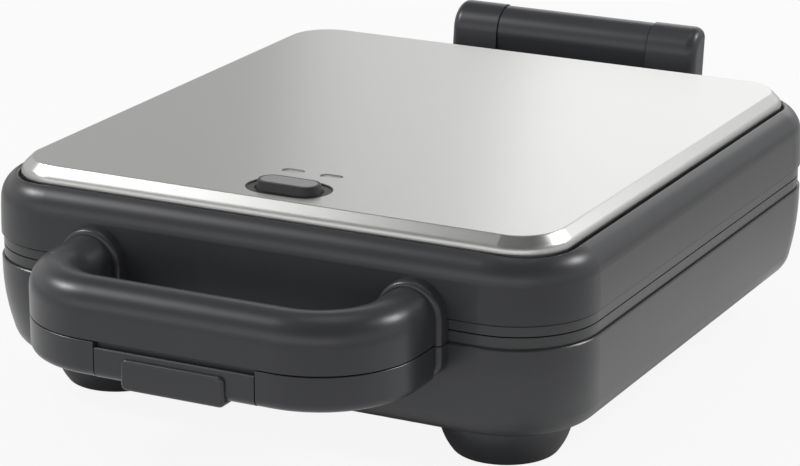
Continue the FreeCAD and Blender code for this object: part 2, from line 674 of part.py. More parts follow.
def make_lid_shell():
    """Shouldered cover with a moat round a raised deck for the stainless plate."""
    moat = TOP_BEVEL + TOP_MOAT
    recess = rounded_prism(TOP_HALF_X + moat, TOP_HALF_Y + moat, TOP_CORNER + moat, MOAT_Z, TOP_Z)
    cover = LID_OUTER.cut(recess)
    cover = cover.makeFillet(MOAT_RIM, [edge for edge in cover.Edges if edge.BoundBox.ZMin > MOAT_Z + 1e-3])
    deck_half = (TOP_HALF_X - DECK_INSET, TOP_HALF_Y - DECK_INSET, TOP_CORNER - DECK_INSET)
    deck = rounded_prism(*deck_half, MOAT_Z - WALL, DECK_TOP)
    attic = rounded_prism(*[size - WALL for size in deck_half], MOAT_Z - 2 * WALL, DECK_LOW)
    inside = swept_block(wall_outline(LID_Z, SHOULDER_Z, LID_ROUND, WALL))
    inside = inside.cut(body_prism(0, MOAT_Z - WALL, TOP_Z))
    shell = joined([cover, deck] + mirrored_pair(collar(LID_Z, True)))
    shell = shell.cut([inside, attic, edge_bevel(LID_Z, 1)])
    apron_y = COLLAR_Y - (HALF_Y - BAND_INSET + BAND_CLEAR)
    apron = collar(SEAM_HIGH, True).common(
        Part.makeBox(BODY_WIDTH, apron_y, LID_Z - SEAM_HIGH, Vector(0, -COLLAR_Y, SEAM_HIGH)))
    panel = front_panel(PANEL_HALF, PANEL_THICK, PART_Z + BAND_GAP, LID_Z + 2 * EDGE_BREAK)
    hem = front_panel(PANEL_HALF, BAND_INSET - BAND_CLEAR, BASE_TOP + BASE_GROOVE, LID_Z)
    bosses = [cylinder(BOSS_RADIUS, PART_Z + REFLECTOR_FAR, DECK_LOW + WALL / 2, x, y) for x, y in PLATE_BOSSES]
    for x in (-BOARD_POST_X, BOARD_POST_X):
        bosses.append(cylinder(BOARD_POST_RADIUS, BOARD_TOP, DECK_LOW + WALL / 2, x, BOARD_Y))
        bosses.append(cylinder(BOARD_PIN_RADIUS, BOARD_TOP - BOARD_SIZE[2], BOARD_TOP, x, BOARD_Y))
    shell = joined([shell, panel, hem] + mirrored_pair(apron) + bosses)
    rooms = [on_lid(room) for room in plate_screw_room(LID_SCREW_SEAT)]
    rooms += [screw_room(seat, -BACK, LEG_SCREW) for seat in UPPER_LEG_SEATS]
    rooms += [screw_room(seat, BACK, BACK_SCREW) for seat in ARM_SEATS]
    rooms.append(moved(stadium(DISH_LENGTH, DISH_WIDTH, DECK_LOW, TOP_Z), 0, BUTTON_Y))
    rooms += [moved(stadium(LENS_LENGTH, LENS_WIDTH, DECK_LOW, TOP_Z), x, LAMP_Y) for x in LAMPS_X]
    return shell.cut(rooms)


def make_top_plate():
    """Folded stainless pan: flat, bevelled edge and short skirt, with openings for button and lamps."""
    skirt_low = MOAT_Z + FIT
    bevel_low = TOP_Z - TOP_BEVEL
    corner_shift = TOP_SHEET * math.tan(math.radians(22.5))

    def pan(skin, shift):
        flat = (TOP_HALF_X - shift, TOP_HALF_Y - shift)
        wide = [half + TOP_BEVEL - skin + shift for half in flat]
        fold = bevel_low - shift
        skirt = rounded_prism(*wide, TOP_CORNER + TOP_BEVEL - skin, skirt_low, fold)
        bevel = tapered_prism(wide, TOP_CORNER + TOP_BEVEL - skin, fold, flat, TOP_CORNER - shift, TOP_Z - skin)
        return joined([skirt, bevel])

    outside = pan(0, 0)
    for level, radius in ((TOP_Z, TOP_BEND), (bevel_low, TOP_FOLD)):
        fold = [edge for edge in outside.Edges
                if edge.BoundBox.ZMin > level - 1e-3 and edge.BoundBox.ZMax < level + 1e-3]
        outside = outside.makeFillet(radius, fold)
    plate = outside.cut(pan(TOP_SHEET, corner_shift))
    holes = [moved(stadium(DISH_LENGTH, DISH_WIDTH, DECK_TOP, TOP_Z), 0, BUTTON_Y)]
    holes += [moved(stadium(LENS_LENGTH, LENS_WIDTH, DECK_TOP, TOP_Z), x, LAMP_Y) for x in LAMPS_X]
    return plate.cut(holes)


# Push button, lamps and board

def make_bezel():
    """Dish round the push button."""
    length, width = DISH_LENGTH - 2 * CLEAR, DISH_WIDTH - 2 * CLEAR
    foot = 2 * (BUTTON_FLARE + BUTTON_ROOM)
    dish = stadium(length, width, BEZEL_LOW, BEZEL_TOP)
    bowl = stadium(length - 2 * DISH_WALL, width - 2 * DISH_WALL, BEZEL_LOW + DISH_FLOOR, BEZEL_TOP)
    hole = stadium(BUTTON_LENGTH + foot, BUTTON_WIDTH + foot, BEZEL_LOW, BEZEL_TOP)
    return moved(dish.cut([bowl, hole]), 0, BUTTON_Y)


def button_inlay_space(room):
    """Shape of the button's inlay, with room round it for its recess."""
    length = BUTTON_LENGTH - 2 * INLAY_MARGIN + 2 * room
    width = BUTTON_WIDTH - 2 * INLAY_MARGIN + 2 * room
    return moved(stadium(length, width, BUTTON_TOP - INLAY_HEIGHT, BUTTON_TOP + CLEAR), 0, BUTTON_Y)


def make_button():
    """Button with flared sides, a flange that stops it under the dish and a short stem."""
    foot = 2 * BUTTON_FLARE
    lip = foot + 2 * BUTTON_FLANGE
    cap = (BUTTON_LENGTH / 2, BUTTON_WIDTH / 2)
    base = (cap[0] + BUTTON_FLARE, cap[1] + BUTTON_FLARE)
    body = joined([
        tapered_prism(base, base[1], BUTTON_FLARE_LOW, cap, cap[1], BUTTON_TOP),
        stadium(BUTTON_LENGTH + foot, BUTTON_WIDTH + foot, FLANGE_TOP, BUTTON_FLARE_LOW),
        stadium(BUTTON_LENGTH + lip, BUTTON_WIDTH + lip, FLANGE_TOP - BUTTON_FLANGE_HEIGHT, FLANGE_TOP),
        cylinder(SWITCH_WIDTH / 2, STEM_LOW, FLANGE_TOP),
    ])
    return moved(body, 0, BUTTON_Y).cut(button_inlay_space(CLEAR))


def make_board():
    """Circuit board under the deck, staked on two posts."""
    length, width, thick = BOARD_SIZE
    board = Part.makeBox(length, width, thick, Vector(-length / 2, BOARD_Y - width / 2, BOARD_TOP - thick))
    pins = [cylinder(BOARD_PIN_RADIUS + PIN_FIT, BOARD_TOP - thick, BOARD_TOP, x, BOARD_Y)
            for x in (-BOARD_POST_X, BOARD_POST_X)]
    return board.cut(pins)


def make_lens(x):
    """Clear light pipe in the plate above a lamp."""
    lens = stadium(LENS_LENGTH - 2 * CLEAR, LENS_WIDTH - 2 * CLEAR, LENS_LOW, TOP_Z - LENS_SINK)
    return moved(lens, x, LAMP_Y)


# Handle

def u_bar(section):
    """Bar in the shape of a U, from one collar round the front to the other."""
    bend = HANDLE_CORNER - HANDLE_BAR / 2
    turn_x, turn_y = LEG_X - bend, -(HANDLE_FRONT - HANDLE_CORNER)
    leg = moved(section, LEG_X, turn_y).extrude(Vector(0, -COLLAR_Y - turn_y, 0))
    bent = moved(section, LEG_X, turn_y).revolve(Vector(turn_x, turn_y, 0), UP, -90)
    front = along_x(section, -turn_x, turn_x)
    return joined([moved(front, 0, turn_y - bend)] + mirrored_pair(leg) + mirrored_pair(bent))


def upper_section():
    """Arched section of the upper half."""
    half, edge = HANDLE_BAR / 2, HANDLE_SEAM_EDGE
    spring = CREST_Z - half
    return face_of([
        line((edge - half, SEAM_HIGH), (half - edge, SEAM_HIGH)),
        line((half - edge, SEAM_HIGH), (half, SEAM_HIGH + edge)),
        line((half, SEAM_HIGH + edge), (half, spring)),
        arc((0, spring), half, 0, 180),
        line((-half, spring), (-half, SEAM_HIGH + edge)),
        line((-half, SEAM_HIGH + edge), (edge - half, SEAM_HIGH)),
    ])


def lower_section():
    """Flat-bottomed section of the lower half."""
    half, edge, bend = HANDLE_BAR / 2, HANDLE_SEAM_EDGE, HANDLE_EDGE
    return face_of([
        line((half - edge, SEAM_LOW), (edge - half, SEAM_LOW)),
        line((edge - half, SEAM_LOW), (-half, SEAM_LOW - edge)),
        line((-half, SEAM_LOW - edge), (-half, HANDLE_LOW + bend)),
        arc((bend - half, HANDLE_LOW + bend), bend, 180, 270),
        line((bend - half, HANDLE_LOW), (half - bend, HANDLE_LOW)),
        arc((half - bend, HANDLE_LOW + bend), bend, -90, 0),
        line((half, HANDLE_LOW + bend), (half, SEAM_LOW - edge)),
        line((half, SEAM_LOW - edge), (half - edge, SEAM_LOW)),
    ])


CATCH_BACK = -(HANDLE_FRONT - CATCH_WALL - CATCH_DEPTH)
CATCH_LOW = BASE_TOP + CATCH_RISE
HOOK_FRONT = CATCH_BACK + CATCH_ROOM
STEM_FRONT = HOOK_FRONT + HOOK_NOSE
NOSE_LOW = CATCH_LOW + CATCH_HEIGHT + CATCH_ROOM
HOOK_TOP = NOSE_LOW + HOOK_NOSE_HEIGHT


def make_handle_upper():
    """Upper half, with a pocket underneath where the latch's hook passes behind a catch."""
    half = HOOK_WIDTH / 2 + CATCH_ROOM
    front = -(HANDLE_FRONT - CATCH_WALL)
    back = STEM_FRONT + HOOK_THICK + 2 * CATCH_ROOM
    pocket_space = Part.makeBox(2 * half, back - front, HOOK_TOP + CATCH_ROOM - SEAM_HIGH,
                                Vector(-half, front, SEAM_HIGH))
    catch = Part.makeBox(2 * half, CATCH_DEPTH, CATCH_HEIGHT, Vector(-half, front, CATCH_LOW))
    handle = u_bar(upper_section()).cut(pocket_space.cut(catch))
    return handle.cut([screw_hole(seat, -BACK, LEG_SCREW) for seat in UPPER_LEG_SEATS])


def make_handle_lower():
    """Lower half, cut away at the front for the latch, whose pin rests in the cheeks."""
    height = BASE_TOP - HANDLE_LOW
    gap = Part.makeBox(LATCH_WIDTH, LATCH_DEPTH, height, Vector(-LATCH_WIDTH / 2, -HANDLE_FRONT, HANDLE_LOW))
    pin = make_latch_pin(PIN_FIT)
    handle = u_bar(lower_section()).cut([gap, pin])
    return handle.cut([screw_hole(seat, -BACK, LEG_SCREW) for seat in LOWER_LEG_SEATS])


def make_latch_pin(room):
    """Pin across the latch's gap, with room round it for a bore."""
    half = LATCH_WIDTH / 2 + LATCH_PIN_END
    return Part.makeCylinder(LATCH_PIN_RADIUS + room, 2 * half, Vector(-half, PIN_Y, PIN_Z), Vector(1, 0, 0))


def make_latch():
    """Rocking plate with a finger tab, two knuckles on the pin and a hook that reaches up."""
    half = LATCH_WIDTH / 2 - LATCH_SIDE_GAP
    top = BASE_TOP - LATCH_TOP_GAP
    front = -HANDLE_FRONT
    bend = min(HANDLE_EDGE, LATCH_THICK)
    step, back, lip = front + LATCH_STEP, front + LATCH_THICK, SEAM_LOW - LATCH_LIP_GAP
    plate_section = face_of([
        line((front + bend, HANDLE_LOW), (back + bend, HANDLE_LOW)),
        line((back + bend, HANDLE_LOW), (back, HANDLE_LOW + bend)),
        line((back, HANDLE_LOW + bend), (back, lip)),
        line((back, lip), (step, lip)),
        line((step, lip), (step, top)),
        line((step, top), (front + LATCH_EDGE, top)),
        line((front + LATCH_EDGE, top), (front, top - LATCH_EDGE)),
        line((front, top - LATCH_EDGE), (front, HANDLE_LOW + bend)),
        arc((front + bend, HANDLE_LOW + bend), bend, 180, 270),
    ])
    tab_low = HANDLE_LOW - TAB_DROP
    tab = rounded_prism(TAB_WIDTH / 2, TAB_HEIGHT / 2, TAB_CORNER, 0, TAB_DEPTH)
    tab = tab.makeFillet(TAB_EDGE, [edge for edge in tab.Edges if edge.BoundBox.ZMin > TAB_DEPTH - 1e-3])
    tab.rotate(Vector(), Vector(1, 0, 0), 90)
    tab = moved(tab, 0, front - TAB_PROUD + TAB_DEPTH, tab_low + TAB_HEIGHT / 2)
    tab = tab.cut(Part.makeBox(TAB_WIDTH, TAB_DEPTH, TAB_HEIGHT,
                               Vector(-TAB_WIDTH / 2, back, tab_low + TAB_LIP)))
    pieces = [along_x(plate_section, -half, half), tab]
    for x in (-KNUCKLE_X, KNUCKLE_X):
        pieces.append(Part.makeCylinder(KNUCKLE_RADIUS, KNUCKLE_WIDTH,
                                        Vector(x - KNUCKLE_WIDTH / 2, PIN_Y, PIN_Z), Vector(1, 0, 0)))
        pieces.append(Part.makeBox(KNUCKLE_WIDTH, PIN_Y - front, KNUCKLE_RADIUS,
                                   Vector(x - KNUCKLE_WIDTH / 2, front, PIN_Z - KNUCKLE_RADIUS / 2)))
    stem_back = STEM_FRONT + HOOK_THICK
    arm_front, arm_low = front + LATCH_THICK / 2, PIN_Z + KNUCKLE_RADIUS / 2
    hook = polygon([(arm_front, arm_low), (stem_back, arm_low), (stem_back, HOOK_TOP), (STEM_FRONT, HOOK_TOP),
                    (HOOK_FRONT, NOSE_LOW + CATCH_ROOM), (HOOK_FRONT, NOSE_LOW), (STEM_FRONT, NOSE_LOW),
                    (STEM_FRONT, top), (arm_front, top)])
    pieces.append(along_x(hook, -HOOK_WIDTH / 2, HOOK_WIDTH / 2))
    return joined(pieces).cut(make_latch_pin(PIN_FIT))


# Hinge

def hinge_head(skin, lean):
    """Round top of post or barrel, from a leaning front to a leaning rear: its edges and their two ends."""
    front = (HINGE_TOP_Y, HINGE_TOP_Z - HINGE_FRONT_ROUND)
    rear = (HINGE_TOP_Y, HINGE_TOP_Z - HINGE_REAR_ROUND)
    edges = [arc(front, HINGE_FRONT_ROUND - skin, 180 - lean, 90),
             arc(rear, HINGE_REAR_ROUND - skin, 90, -lean)]
    start = edges[0].valueAt(edges[0].FirstParameter)
    end = edges[1].valueAt(edges[1].LastParameter)
    return edges, (start.x, start.z), (end.x, end.z)


def hinge_post_section():
    """Side view of a post: foot against the base, leaning stem and round head above the axle."""
    head, front, rear = hinge_head(0, POST_LEAN)
    foot_top = BASE_TOP - POST_FOOT_HIGH
    foot_low = BASE_Z + POST_FOOT_LOW
    slope = math.tan(math.radians(POST_LEAN))
    front_low = front[0] - slope * (front[1] - foot_top)
    rear_low = rear[0] - slope * (rear[1] - foot_low)
    root = HALF_Y - BASE_ROUND
    stem = face_of(head + [
        line((root, foot_low), (root, foot_top)),
        line((root, foot_top), (front_low, foot_top)),
        line((front_low, foot_top), front),
        line(rear, (rear_low, foot_low)),
        line((rear_low, foot_low), (root, foot_low)),
    ])
    return stem, (front_low, foot_top), (rear_low, foot_low)


def make_hinge_post():
    """Right-hand post, with rounded outer corners, a bore for the axle and holes for two screws."""
    inner, outer = HINGE_HALF - POST_WIDTH, HINGE_HALF
    section, shelf, heel = hinge_post_section()
    post = along_x(section, inner, outer)
    for corner, radius in ((shelf, POST_SHELF), (heel, POST_HEEL)):
        post = post.makeFillet(radius, [edge for edge in post.Edges
                                        if abs(edge.CenterOfMass.y - corner[0]) < 1e-3
                                        and abs(edge.CenterOfMass.z - corner[1]) < 1e-3])
    rim = [edge for edge in post.Edges if edge.BoundBox.XMin > outer - 1e-3 and edge.CenterOfMass.y > HALF_Y]
    post = post.makeFillet(POST_EDGE, rim)
    bore = Part.makeCylinder(AXLE_RADIUS + PIN_FIT, AXLE_END + BARREL_GAP,
                             Vector(inner - BARREL_GAP, HINGE_Y, HINGE_Z), Vector(1, 0, 0))
    holes = [screw_hole(seat, BACK, BACK_SCREW) for seat in POST_SEATS if seat.x > 0]
    return post.cut([BASE_OUTER, bore] + holes)


def hinge_arm_section():
    """Side view of the arm: root on the lid, upright face up to the barrel and round barrel."""
    root, low, top = HALF_Y - LID_ROUND, LID_Z + ARM_LOW, HINGE_Z - ARM_TOP
    head, front, rear = hinge_head(BARREL_STEP, 0)
    face, knee = front[0], HALF_Y + ARM_KNEE
    rear_low = (rear[0], HINGE_Z - ARM_REAR)
    return face_of(head + [
        line((root, low), (knee, low)),
        line((knee, low), rear_low),
        line(rear_low, rear),
        line(front, (face, top + ARM_HOLLOW)),
        arc((face - ARM_HOLLOW, top + ARM_HOLLOW), ARM_HOLLOW, 0, -90),
        line((face - ARM_HOLLOW, top), (root, top)),
        line((root, top), (root, low)),
    ])


def make_hinge_arm():
    """Barrel on the axle and the arm that carries the lid from it."""
    half = BARREL_WIDTH / 2
    piece = along_x(hinge_arm_section(), -half, half)
    bore = Part.makeCylinder(AXLE_RADIUS + PIN_FIT, BARREL_WIDTH,
                             Vector(-half, HINGE_Y, HINGE_Z), Vector(1, 0, 0))
    return piece.cut([LID_OUTER, bore] + [screw_hole(seat, BACK, BACK_SCREW) for seat in ARM_SEATS])


def make_axle():
    """Steel axle through the barrel and both posts."""
    half = BARREL_WIDTH / 2 + AXLE_END
    return Part.makeCylinder(AXLE_RADIUS, 2 * half, Vector(-half, HINGE_Y, HINGE_Z), Vector(1, 0, 0))


# Feet and cord gland

def make_foot(x, y):
    """Bowl-shaped foot, hollow above, with a recess for its rubber pad."""
    low = PAD_PROUD
    height = FOOT_HEIGHT - low
    side = FOOT_FULLNESS * height
    turn = math.asin(height / side)
    low_radius = FOOT_TOP_RADIUS - side + side * math.cos(turn)
    section = face_of([
        line((0, low), (low_radius, low)),
        arc((FOOT_TOP_RADIUS - side, FOOT_HEIGHT), side, -math.degrees(turn), 0),
        line((FOOT_TOP_RADIUS, FOOT_HEIGHT), (0, FOOT_HEIGHT)),
        line((0, FOOT_HEIGHT), (0, low)),
    ])
    bowl = section.revolve(Vector(), UP, 360)
    rim = [edge for edge in bowl.Edges if edge.Closed and edge.BoundBox.ZMax < low + 1e-3]
    bowl = bowl.makeFillet(FOOT_ROUND, rim)
    floor = low + PAD_THICK + FOOT_WALL
    hollow = Part.makeCone(low_radius - FOOT_WALL, FOOT_TOP_RADIUS - 2 * FOOT_WALL,
                           FOOT_HEIGHT - floor, Vector(0, 0, floor), UP)
    hollow = hollow.cut(cylinder(FOOT_BOSS, floor, FOOT_HEIGHT))
    pad_room = cylinder(PAD_RADIUS + CLEAR, low, PAD_THICK)
    hole = screw_hole(Vector(0, 0, FLOOR_Z), -UP, FOOT_SCREW)
    return moved(bowl.cut([hollow, pad_room, hole]), x, y)


def make_gland():
    """Flanged bush where a cord enters the base."""
    start = HALF_Y - WALL - GLAND_INSIDE
    place = Vector(0, start, GLAND_Z)
    length = GLAND_INSIDE + WALL + GLAND_REACH
    flange = cylinder(GLAND_RADIUS + GLAND_FLANGE, GLAND_INSIDE, length)
    flange = aimed(flange, place, BACK).cut(BASE_OUTER)
    bush = aimed(cylinder(GLAND_RADIUS, 0, length), place, BACK)
    return joined([flange, bush]).cut(aimed(cylinder(GLAND_BORE, 0, length), place, BACK))


# Nodes

nodes = {
    "base_shell": make_base_shell(),
    "base_frame": on_base(band_frame(BASE_BAND, BASE_GROOVE)),
    "lower_cooking_plate": on_base(cooking_plate()),
    "lower_heating_element": on_base(element(ELEMENT_RADIUS)),
    "lower_reflector": on_base(reflector()),
    "lower_plate_screws": [on_base(piece) for piece in plate_screws(BASE_SCREW_SEAT)],
    "lid_shell": make_lid_shell(),
    "lid_frame": make_lid_frame(),
    "lid_top_plate": make_top_plate(),
    "upper_cooking_plate": on_lid(cooking_plate()),
    "upper_heating_element": on_lid(element(ELEMENT_RADIUS)),
    "upper_reflector": on_lid(reflector()),
    "upper_plate_screws": [on_lid(piece) for piece in plate_screws(LID_SCREW_SEAT)],
    "handle_upper": make_handle_upper(),
    "handle_lower": make_handle_lower(),
    "handle_upper_screws": [screw(seat, -BACK, LEG_SCREW) for seat in UPPER_LEG_SEATS],
    "handle_lower_screws": [screw(seat, -BACK, LEG_SCREW) for seat in LOWER_LEG_SEATS],
    "latch_lever": make_latch(),
    "latch_pin": make_latch_pin(0),
    "hinge_axle": make_axle(),
    "lid_hinge_arm": make_hinge_arm(),
    "hinge_arm_screws": [screw(seat, BACK, BACK_SCREW) for seat in ARM_SEATS],
    "hinge_post_screws": [screw(seat, BACK, BACK_SCREW) for seat in POST_SEATS],
    "button_bezel": make_bezel(),
    "button_body": make_button(),
    "button_inlay": button_inlay_space(0),
    "power_lens": make_lens(LAMPS_X[0]),
    "ready_lens": make_lens(LAMPS_X[1]),
    "control_board": make_board(),
    "button_switch": Part.makeBox(SWITCH_WIDTH, SWITCH_WIDTH, SWITCH_HEIGHT,
                                  Vector(-SWITCH_WIDTH / 2, BUTTON_Y - SWITCH_WIDTH / 2, BOARD_TOP)),
    "cord_gland": make_gland(),
    "terminal_block": Part.makeBox(
        *TERMINAL_SIZE, Vector(-TERMINAL_SIZE[0] / 2, TERMINAL_Y - TERMINAL_SIZE[1] / 2, FLOOR_Z)),
    "foot_pads": [cylinder(PAD_RADIUS, 0, PAD_THICK, x, y) for x, y in FEET],
    "foot_screws": [screw(Vector(x, y, FLOOR_Z), -UP, FOOT_SCREW) for x, y in FEET],
}
for side, post in zip(("right", "left"), mirrored_pair(make_hinge_post())):
    nodes["hinge_post_" + side] = post
for x, y in FEET:
    place = ("front" if y < 0 else "rear") + "_" + ("left" if x < 0 else "right")
    nodes["foot_" + place] = make_foot(x, y)
for name, x in zip(("power_lamp", "ready_lamp"), LAMPS_X):
    nodes[name] = cylinder(LED_RADIUS, BOARD_TOP, BOARD_TOP + LED_HEIGHT, x, LAMP_Y)
for name, settle in (("lower_thermostat", on_base), ("upper_thermostat", on_lid)):
    nodes[name] = settle(cylinder(THERMOSTAT_RADIUS, PLATE_FAR, PLATE_FAR + THERMOSTAT_HEIGHT))
nodes["thermal_fuse"] = on_base(Part.makeCylinder(
    FUSE_RADIUS, FUSE_LENGTH, Vector(FUSE_X, -FUSE_LENGTH / 2, PLATE_FAR + FUSE_RADIUS + PIN_FIT), BACK))

os.makedirs("parts", exist_ok=True)
for name, pieces in nodes.items():
    shape = Part.makeCompound(pieces) if isinstance(pieces, list) else pieces
    moved(shape, *MIDDLE).exportStep("parts/" + name + ".step")
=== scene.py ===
import math

import bmesh
import bpy
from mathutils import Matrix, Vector


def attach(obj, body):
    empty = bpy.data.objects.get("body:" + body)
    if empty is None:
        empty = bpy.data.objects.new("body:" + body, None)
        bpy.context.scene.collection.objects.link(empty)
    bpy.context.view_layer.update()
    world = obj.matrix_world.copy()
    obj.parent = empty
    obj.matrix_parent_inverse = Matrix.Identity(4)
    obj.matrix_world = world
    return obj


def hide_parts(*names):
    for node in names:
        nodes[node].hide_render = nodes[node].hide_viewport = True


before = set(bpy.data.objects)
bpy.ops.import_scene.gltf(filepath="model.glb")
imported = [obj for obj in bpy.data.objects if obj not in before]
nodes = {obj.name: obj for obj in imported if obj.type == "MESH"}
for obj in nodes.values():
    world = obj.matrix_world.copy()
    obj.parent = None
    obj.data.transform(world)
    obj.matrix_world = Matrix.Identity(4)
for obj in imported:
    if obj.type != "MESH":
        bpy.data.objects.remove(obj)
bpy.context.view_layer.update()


# Base tub, lid cover, handle halves, latch, hinge posts, hinge arm and bowl feet.
# Charcoal polypropylene, injection moulded in steel tools whose faces were spark eroded, and
# screwed together from inside and below, so that no fastener shows on the top or the sides.
MILLIMETRE = 0.001          # sizes of pieces and patterns are in millimetres, Blender's in metres
CHARCOAL = "#343538"
CHARCOAL_PALE = "#38393c"
SPARK_GRAIN = 0.6           # the real grain is about 0.1 mm, drawn coarser so that it shows
SPARK_DEPTH = 0.1
SPARK_CLOUD = 45.0          # slow drift of gloss where the melt cooled unevenly
POLYPROPYLENE_IOR = 1.49


def linear(colour):
    """Linear colour of an sRGB hex value."""
    parts = [int(colour[i:i + 2], 16) / 255 for i in (1, 3, 5)]
    return [c / 12.92 if c <= 0.04045 else ((c + 0.055) / 1.055) ** 2.4 for c in parts] + [1.0]


def add_node(tree, kind, settings, inputs):
    """Adds a shader node: settings are its own, an input is a value or another node's output."""
    new = tree.nodes.new(kind)
    for name, value in settings.items():
        setattr(new, name, value)
    for name, value in inputs.items():
        if isinstance(value, bpy.types.NodeSocket):
            tree.links.new(value, new.inputs[name])
        else:
            new.inputs[name].default_value = value
    return new


def begin_material(name):
    """New material with its node tree, its shader and the place of each point in metres."""
    material = bpy.data.materials.new(name)
    material.use_nodes = True
    tree = material.node_tree
    place = add_node(tree, "ShaderNodeTexCoord", {}, {}).outputs["Object"]
    return material, tree, tree.nodes["Principled BSDF"], place


def finish_material(tree, shader, tone, gloss, relief):
    """Links a material's colour, roughness and bump to its shader."""
    tree.links.new(tone, shader.inputs["Base Color"])
    tree.links.new(gloss, shader.inputs["Roughness"])
    tree.links.new(relief, shader.inputs["Normal"])


def per_millimetre(size):
    """Texture scale at which one pattern cell is that many millimetres wide."""
    return 1 / (size * MILLIMETRE)


def paint(material, *names):
    """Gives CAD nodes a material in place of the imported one."""
    for name in names:
        mesh = nodes[name].data
        mesh.materials.clear()
        mesh.materials.append(material)


# Spark-eroded polypropylene: satin, with a fine pebble that breaks up the highlights.
charcoal, tree, shader, place = begin_material("charcoal_polypropylene_spark_eroded")
cloud = add_node(tree, "ShaderNodeTexNoise", {}, {
    "Vector": place, "Scale": per_millimetre(SPARK_CLOUD), "Detail": 2.0})
tone = add_node(tree, "ShaderNodeMix", {"data_type": "RGBA"}, {
    "Factor": cloud.outputs["Fac"], 6: linear(CHARCOAL), 7: linear(CHARCOAL_PALE)})
gloss = add_node(tree, "ShaderNodeMapRange", {}, {
    "Value": cloud.outputs["Fac"], "To Min": 0.3, "To Max": 0.35})
pebble = add_node(tree, "ShaderNodeTexNoise", {}, {
    "Vector": place, "Scale": per_millimetre(SPARK_GRAIN), "Detail": 3.0, "Roughness": 0.6})
relief = add_node(tree, "ShaderNodeBump", {}, {
    "Height": pebble.outputs["Fac"], "Strength": 0.12, "Distance": SPARK_DEPTH * MILLIMETRE})
finish_material(tree, shader, tone.outputs[2], gloss.outputs["Result"], relief.outputs["Normal"])
shader.inputs["IOR"].default_value = POLYPROPYLENE_IOR
paint(charcoal, "base_shell", "lid_shell", "handle_upper", "handle_lower", "latch_lever",
      "hinge_post_left", "hinge_post_right", "lid_hinge_arm",
      "foot_front_left", "foot_front_right", "foot_rear_left", "foot_rear_right")


# Pads under the four feet.
# Compression-moulded black rubber discs with two ring grooves that grip a worktop, pressed into
# recesses in the feet.
RUBBER = "#151515"
RUBBER_BLOOM = "#1e1e1d"
PAD_PLACES = ((-97.7, -91.85), (97.7, -91.85), (-74.0, 119.15), (74.0, 119.15))
PAD_PROFILE = ((0, 0.5), (3.0, 0.5), (3.4, 0.0), (7.0, 0.0), (7.2, 0.5), (8.2, 0.5),
               (8.4, 0.0), (10.8, 0.0), (11.0, 0.5), (12.0, 0.5), (12.2, 0.0), (14.2, 0.0),
               (14.8, 0.3), (15.0, 0.9), (15.0, 2.2), (0, 2.2))
RUBBER_GRAIN = 0.8          # the real grain is about 0.2 mm, drawn coarser so that it shows
RUBBER_GRAIN_DEPTH = 0.1
BLOOM_PATCH = 9.0
TURN_STEPS = 64
WELD_REACH = 0.0001         # joins the points that coincide on the axis of a turned piece
SHARP_EDGE = 35             # degrees between faces from which an edge stays crisp


def plain_face(x, y, height):
    """Sink of a turned body without recesses."""
    return 0.0


def turned(name, places, profile, sink):
    """Bodies turned about upright axes, in millimetres; sink lifts a point into the body from below."""
    vertices = []
    faces = []
    for place_x, place_y in places:
        start = len(vertices)
        for radius, height in profile:
            for step in range(TURN_STEPS):
                angle = 2 * math.pi * step / TURN_STEPS
                x, y = radius * math.cos(angle), radius * math.sin(angle)
                point = Vector((place_x + x, place_y + y, height + sink(x, y, height)))
                vertices.append(point * MILLIMETRE)
        for row in range(len(profile) - 1):
            for step in range(TURN_STEPS):
                after = (step + 1) % TURN_STEPS
                low, high = start + row * TURN_STEPS, start + (row + 1) * TURN_STEPS
                faces.append((low + after, low + step, high + step, high + after))
    mesh = bpy.data.meshes.new(name)
    mesh.from_pydata(vertices, [], faces)
    form = bmesh.new()
    form.from_mesh(mesh)
    bmesh.ops.remove_doubles(form, verts=form.verts, dist=WELD_REACH * MILLIMETRE)
    form.to_mesh(mesh)
    form.free()
    mesh.validate()
    mesh.shade_smooth()
    mesh.set_sharp_from_angle(angle=math.radians(SHARP_EDGE))
    piece = bpy.data.objects.new(name, mesh)
    bpy.context.scene.collection.objects.link(piece)
    return piece


# Moulded rubber: dull and faintly dusty where its wax has bloomed.
rubber, tree, shader, place = begin_material("black_rubber_compression_moulded")
bloom = add_node(tree, "ShaderNodeTexNoise", {}, {
    "Vector": place, "Scale": per_millimetre(BLOOM_PATCH), "Detail": 4.0})
tone = add_node(tree, "ShaderNodeMix", {"data_type": "RGBA"}, {
    "Factor": bloom.outputs["Fac"], 6: linear(RUBBER), 7: linear(RUBBER_BLOOM)})
gloss = add_node(tree, "ShaderNodeMapRange", {}, {
    "Value": bloom.outputs["Fac"], "To Min": 0.72, "To Max": 0.88})
grain = add_node(tree, "ShaderNodeTexNoise", {}, {
    "Vector": place, "Scale": per_millimetre(RUBBER_GRAIN), "Detail": 2.0})
relief = add_node(tree, "ShaderNodeBump", {}, {
    "Height": grain.outputs["Fac"], "Strength": 0.3, "Distance": RUBBER_GRAIN_DEPTH * MILLIMETRE})
finish_material(tree, shader, tone.outputs[2], gloss.outputs["Result"], relief.outputs["Normal"])

pads = turned("rubber_pads", PAD_PLACES, PAD_PROFILE, plain_face)
pads.data.materials.append(rubber)
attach(pads, "base")
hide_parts("foot_pads")


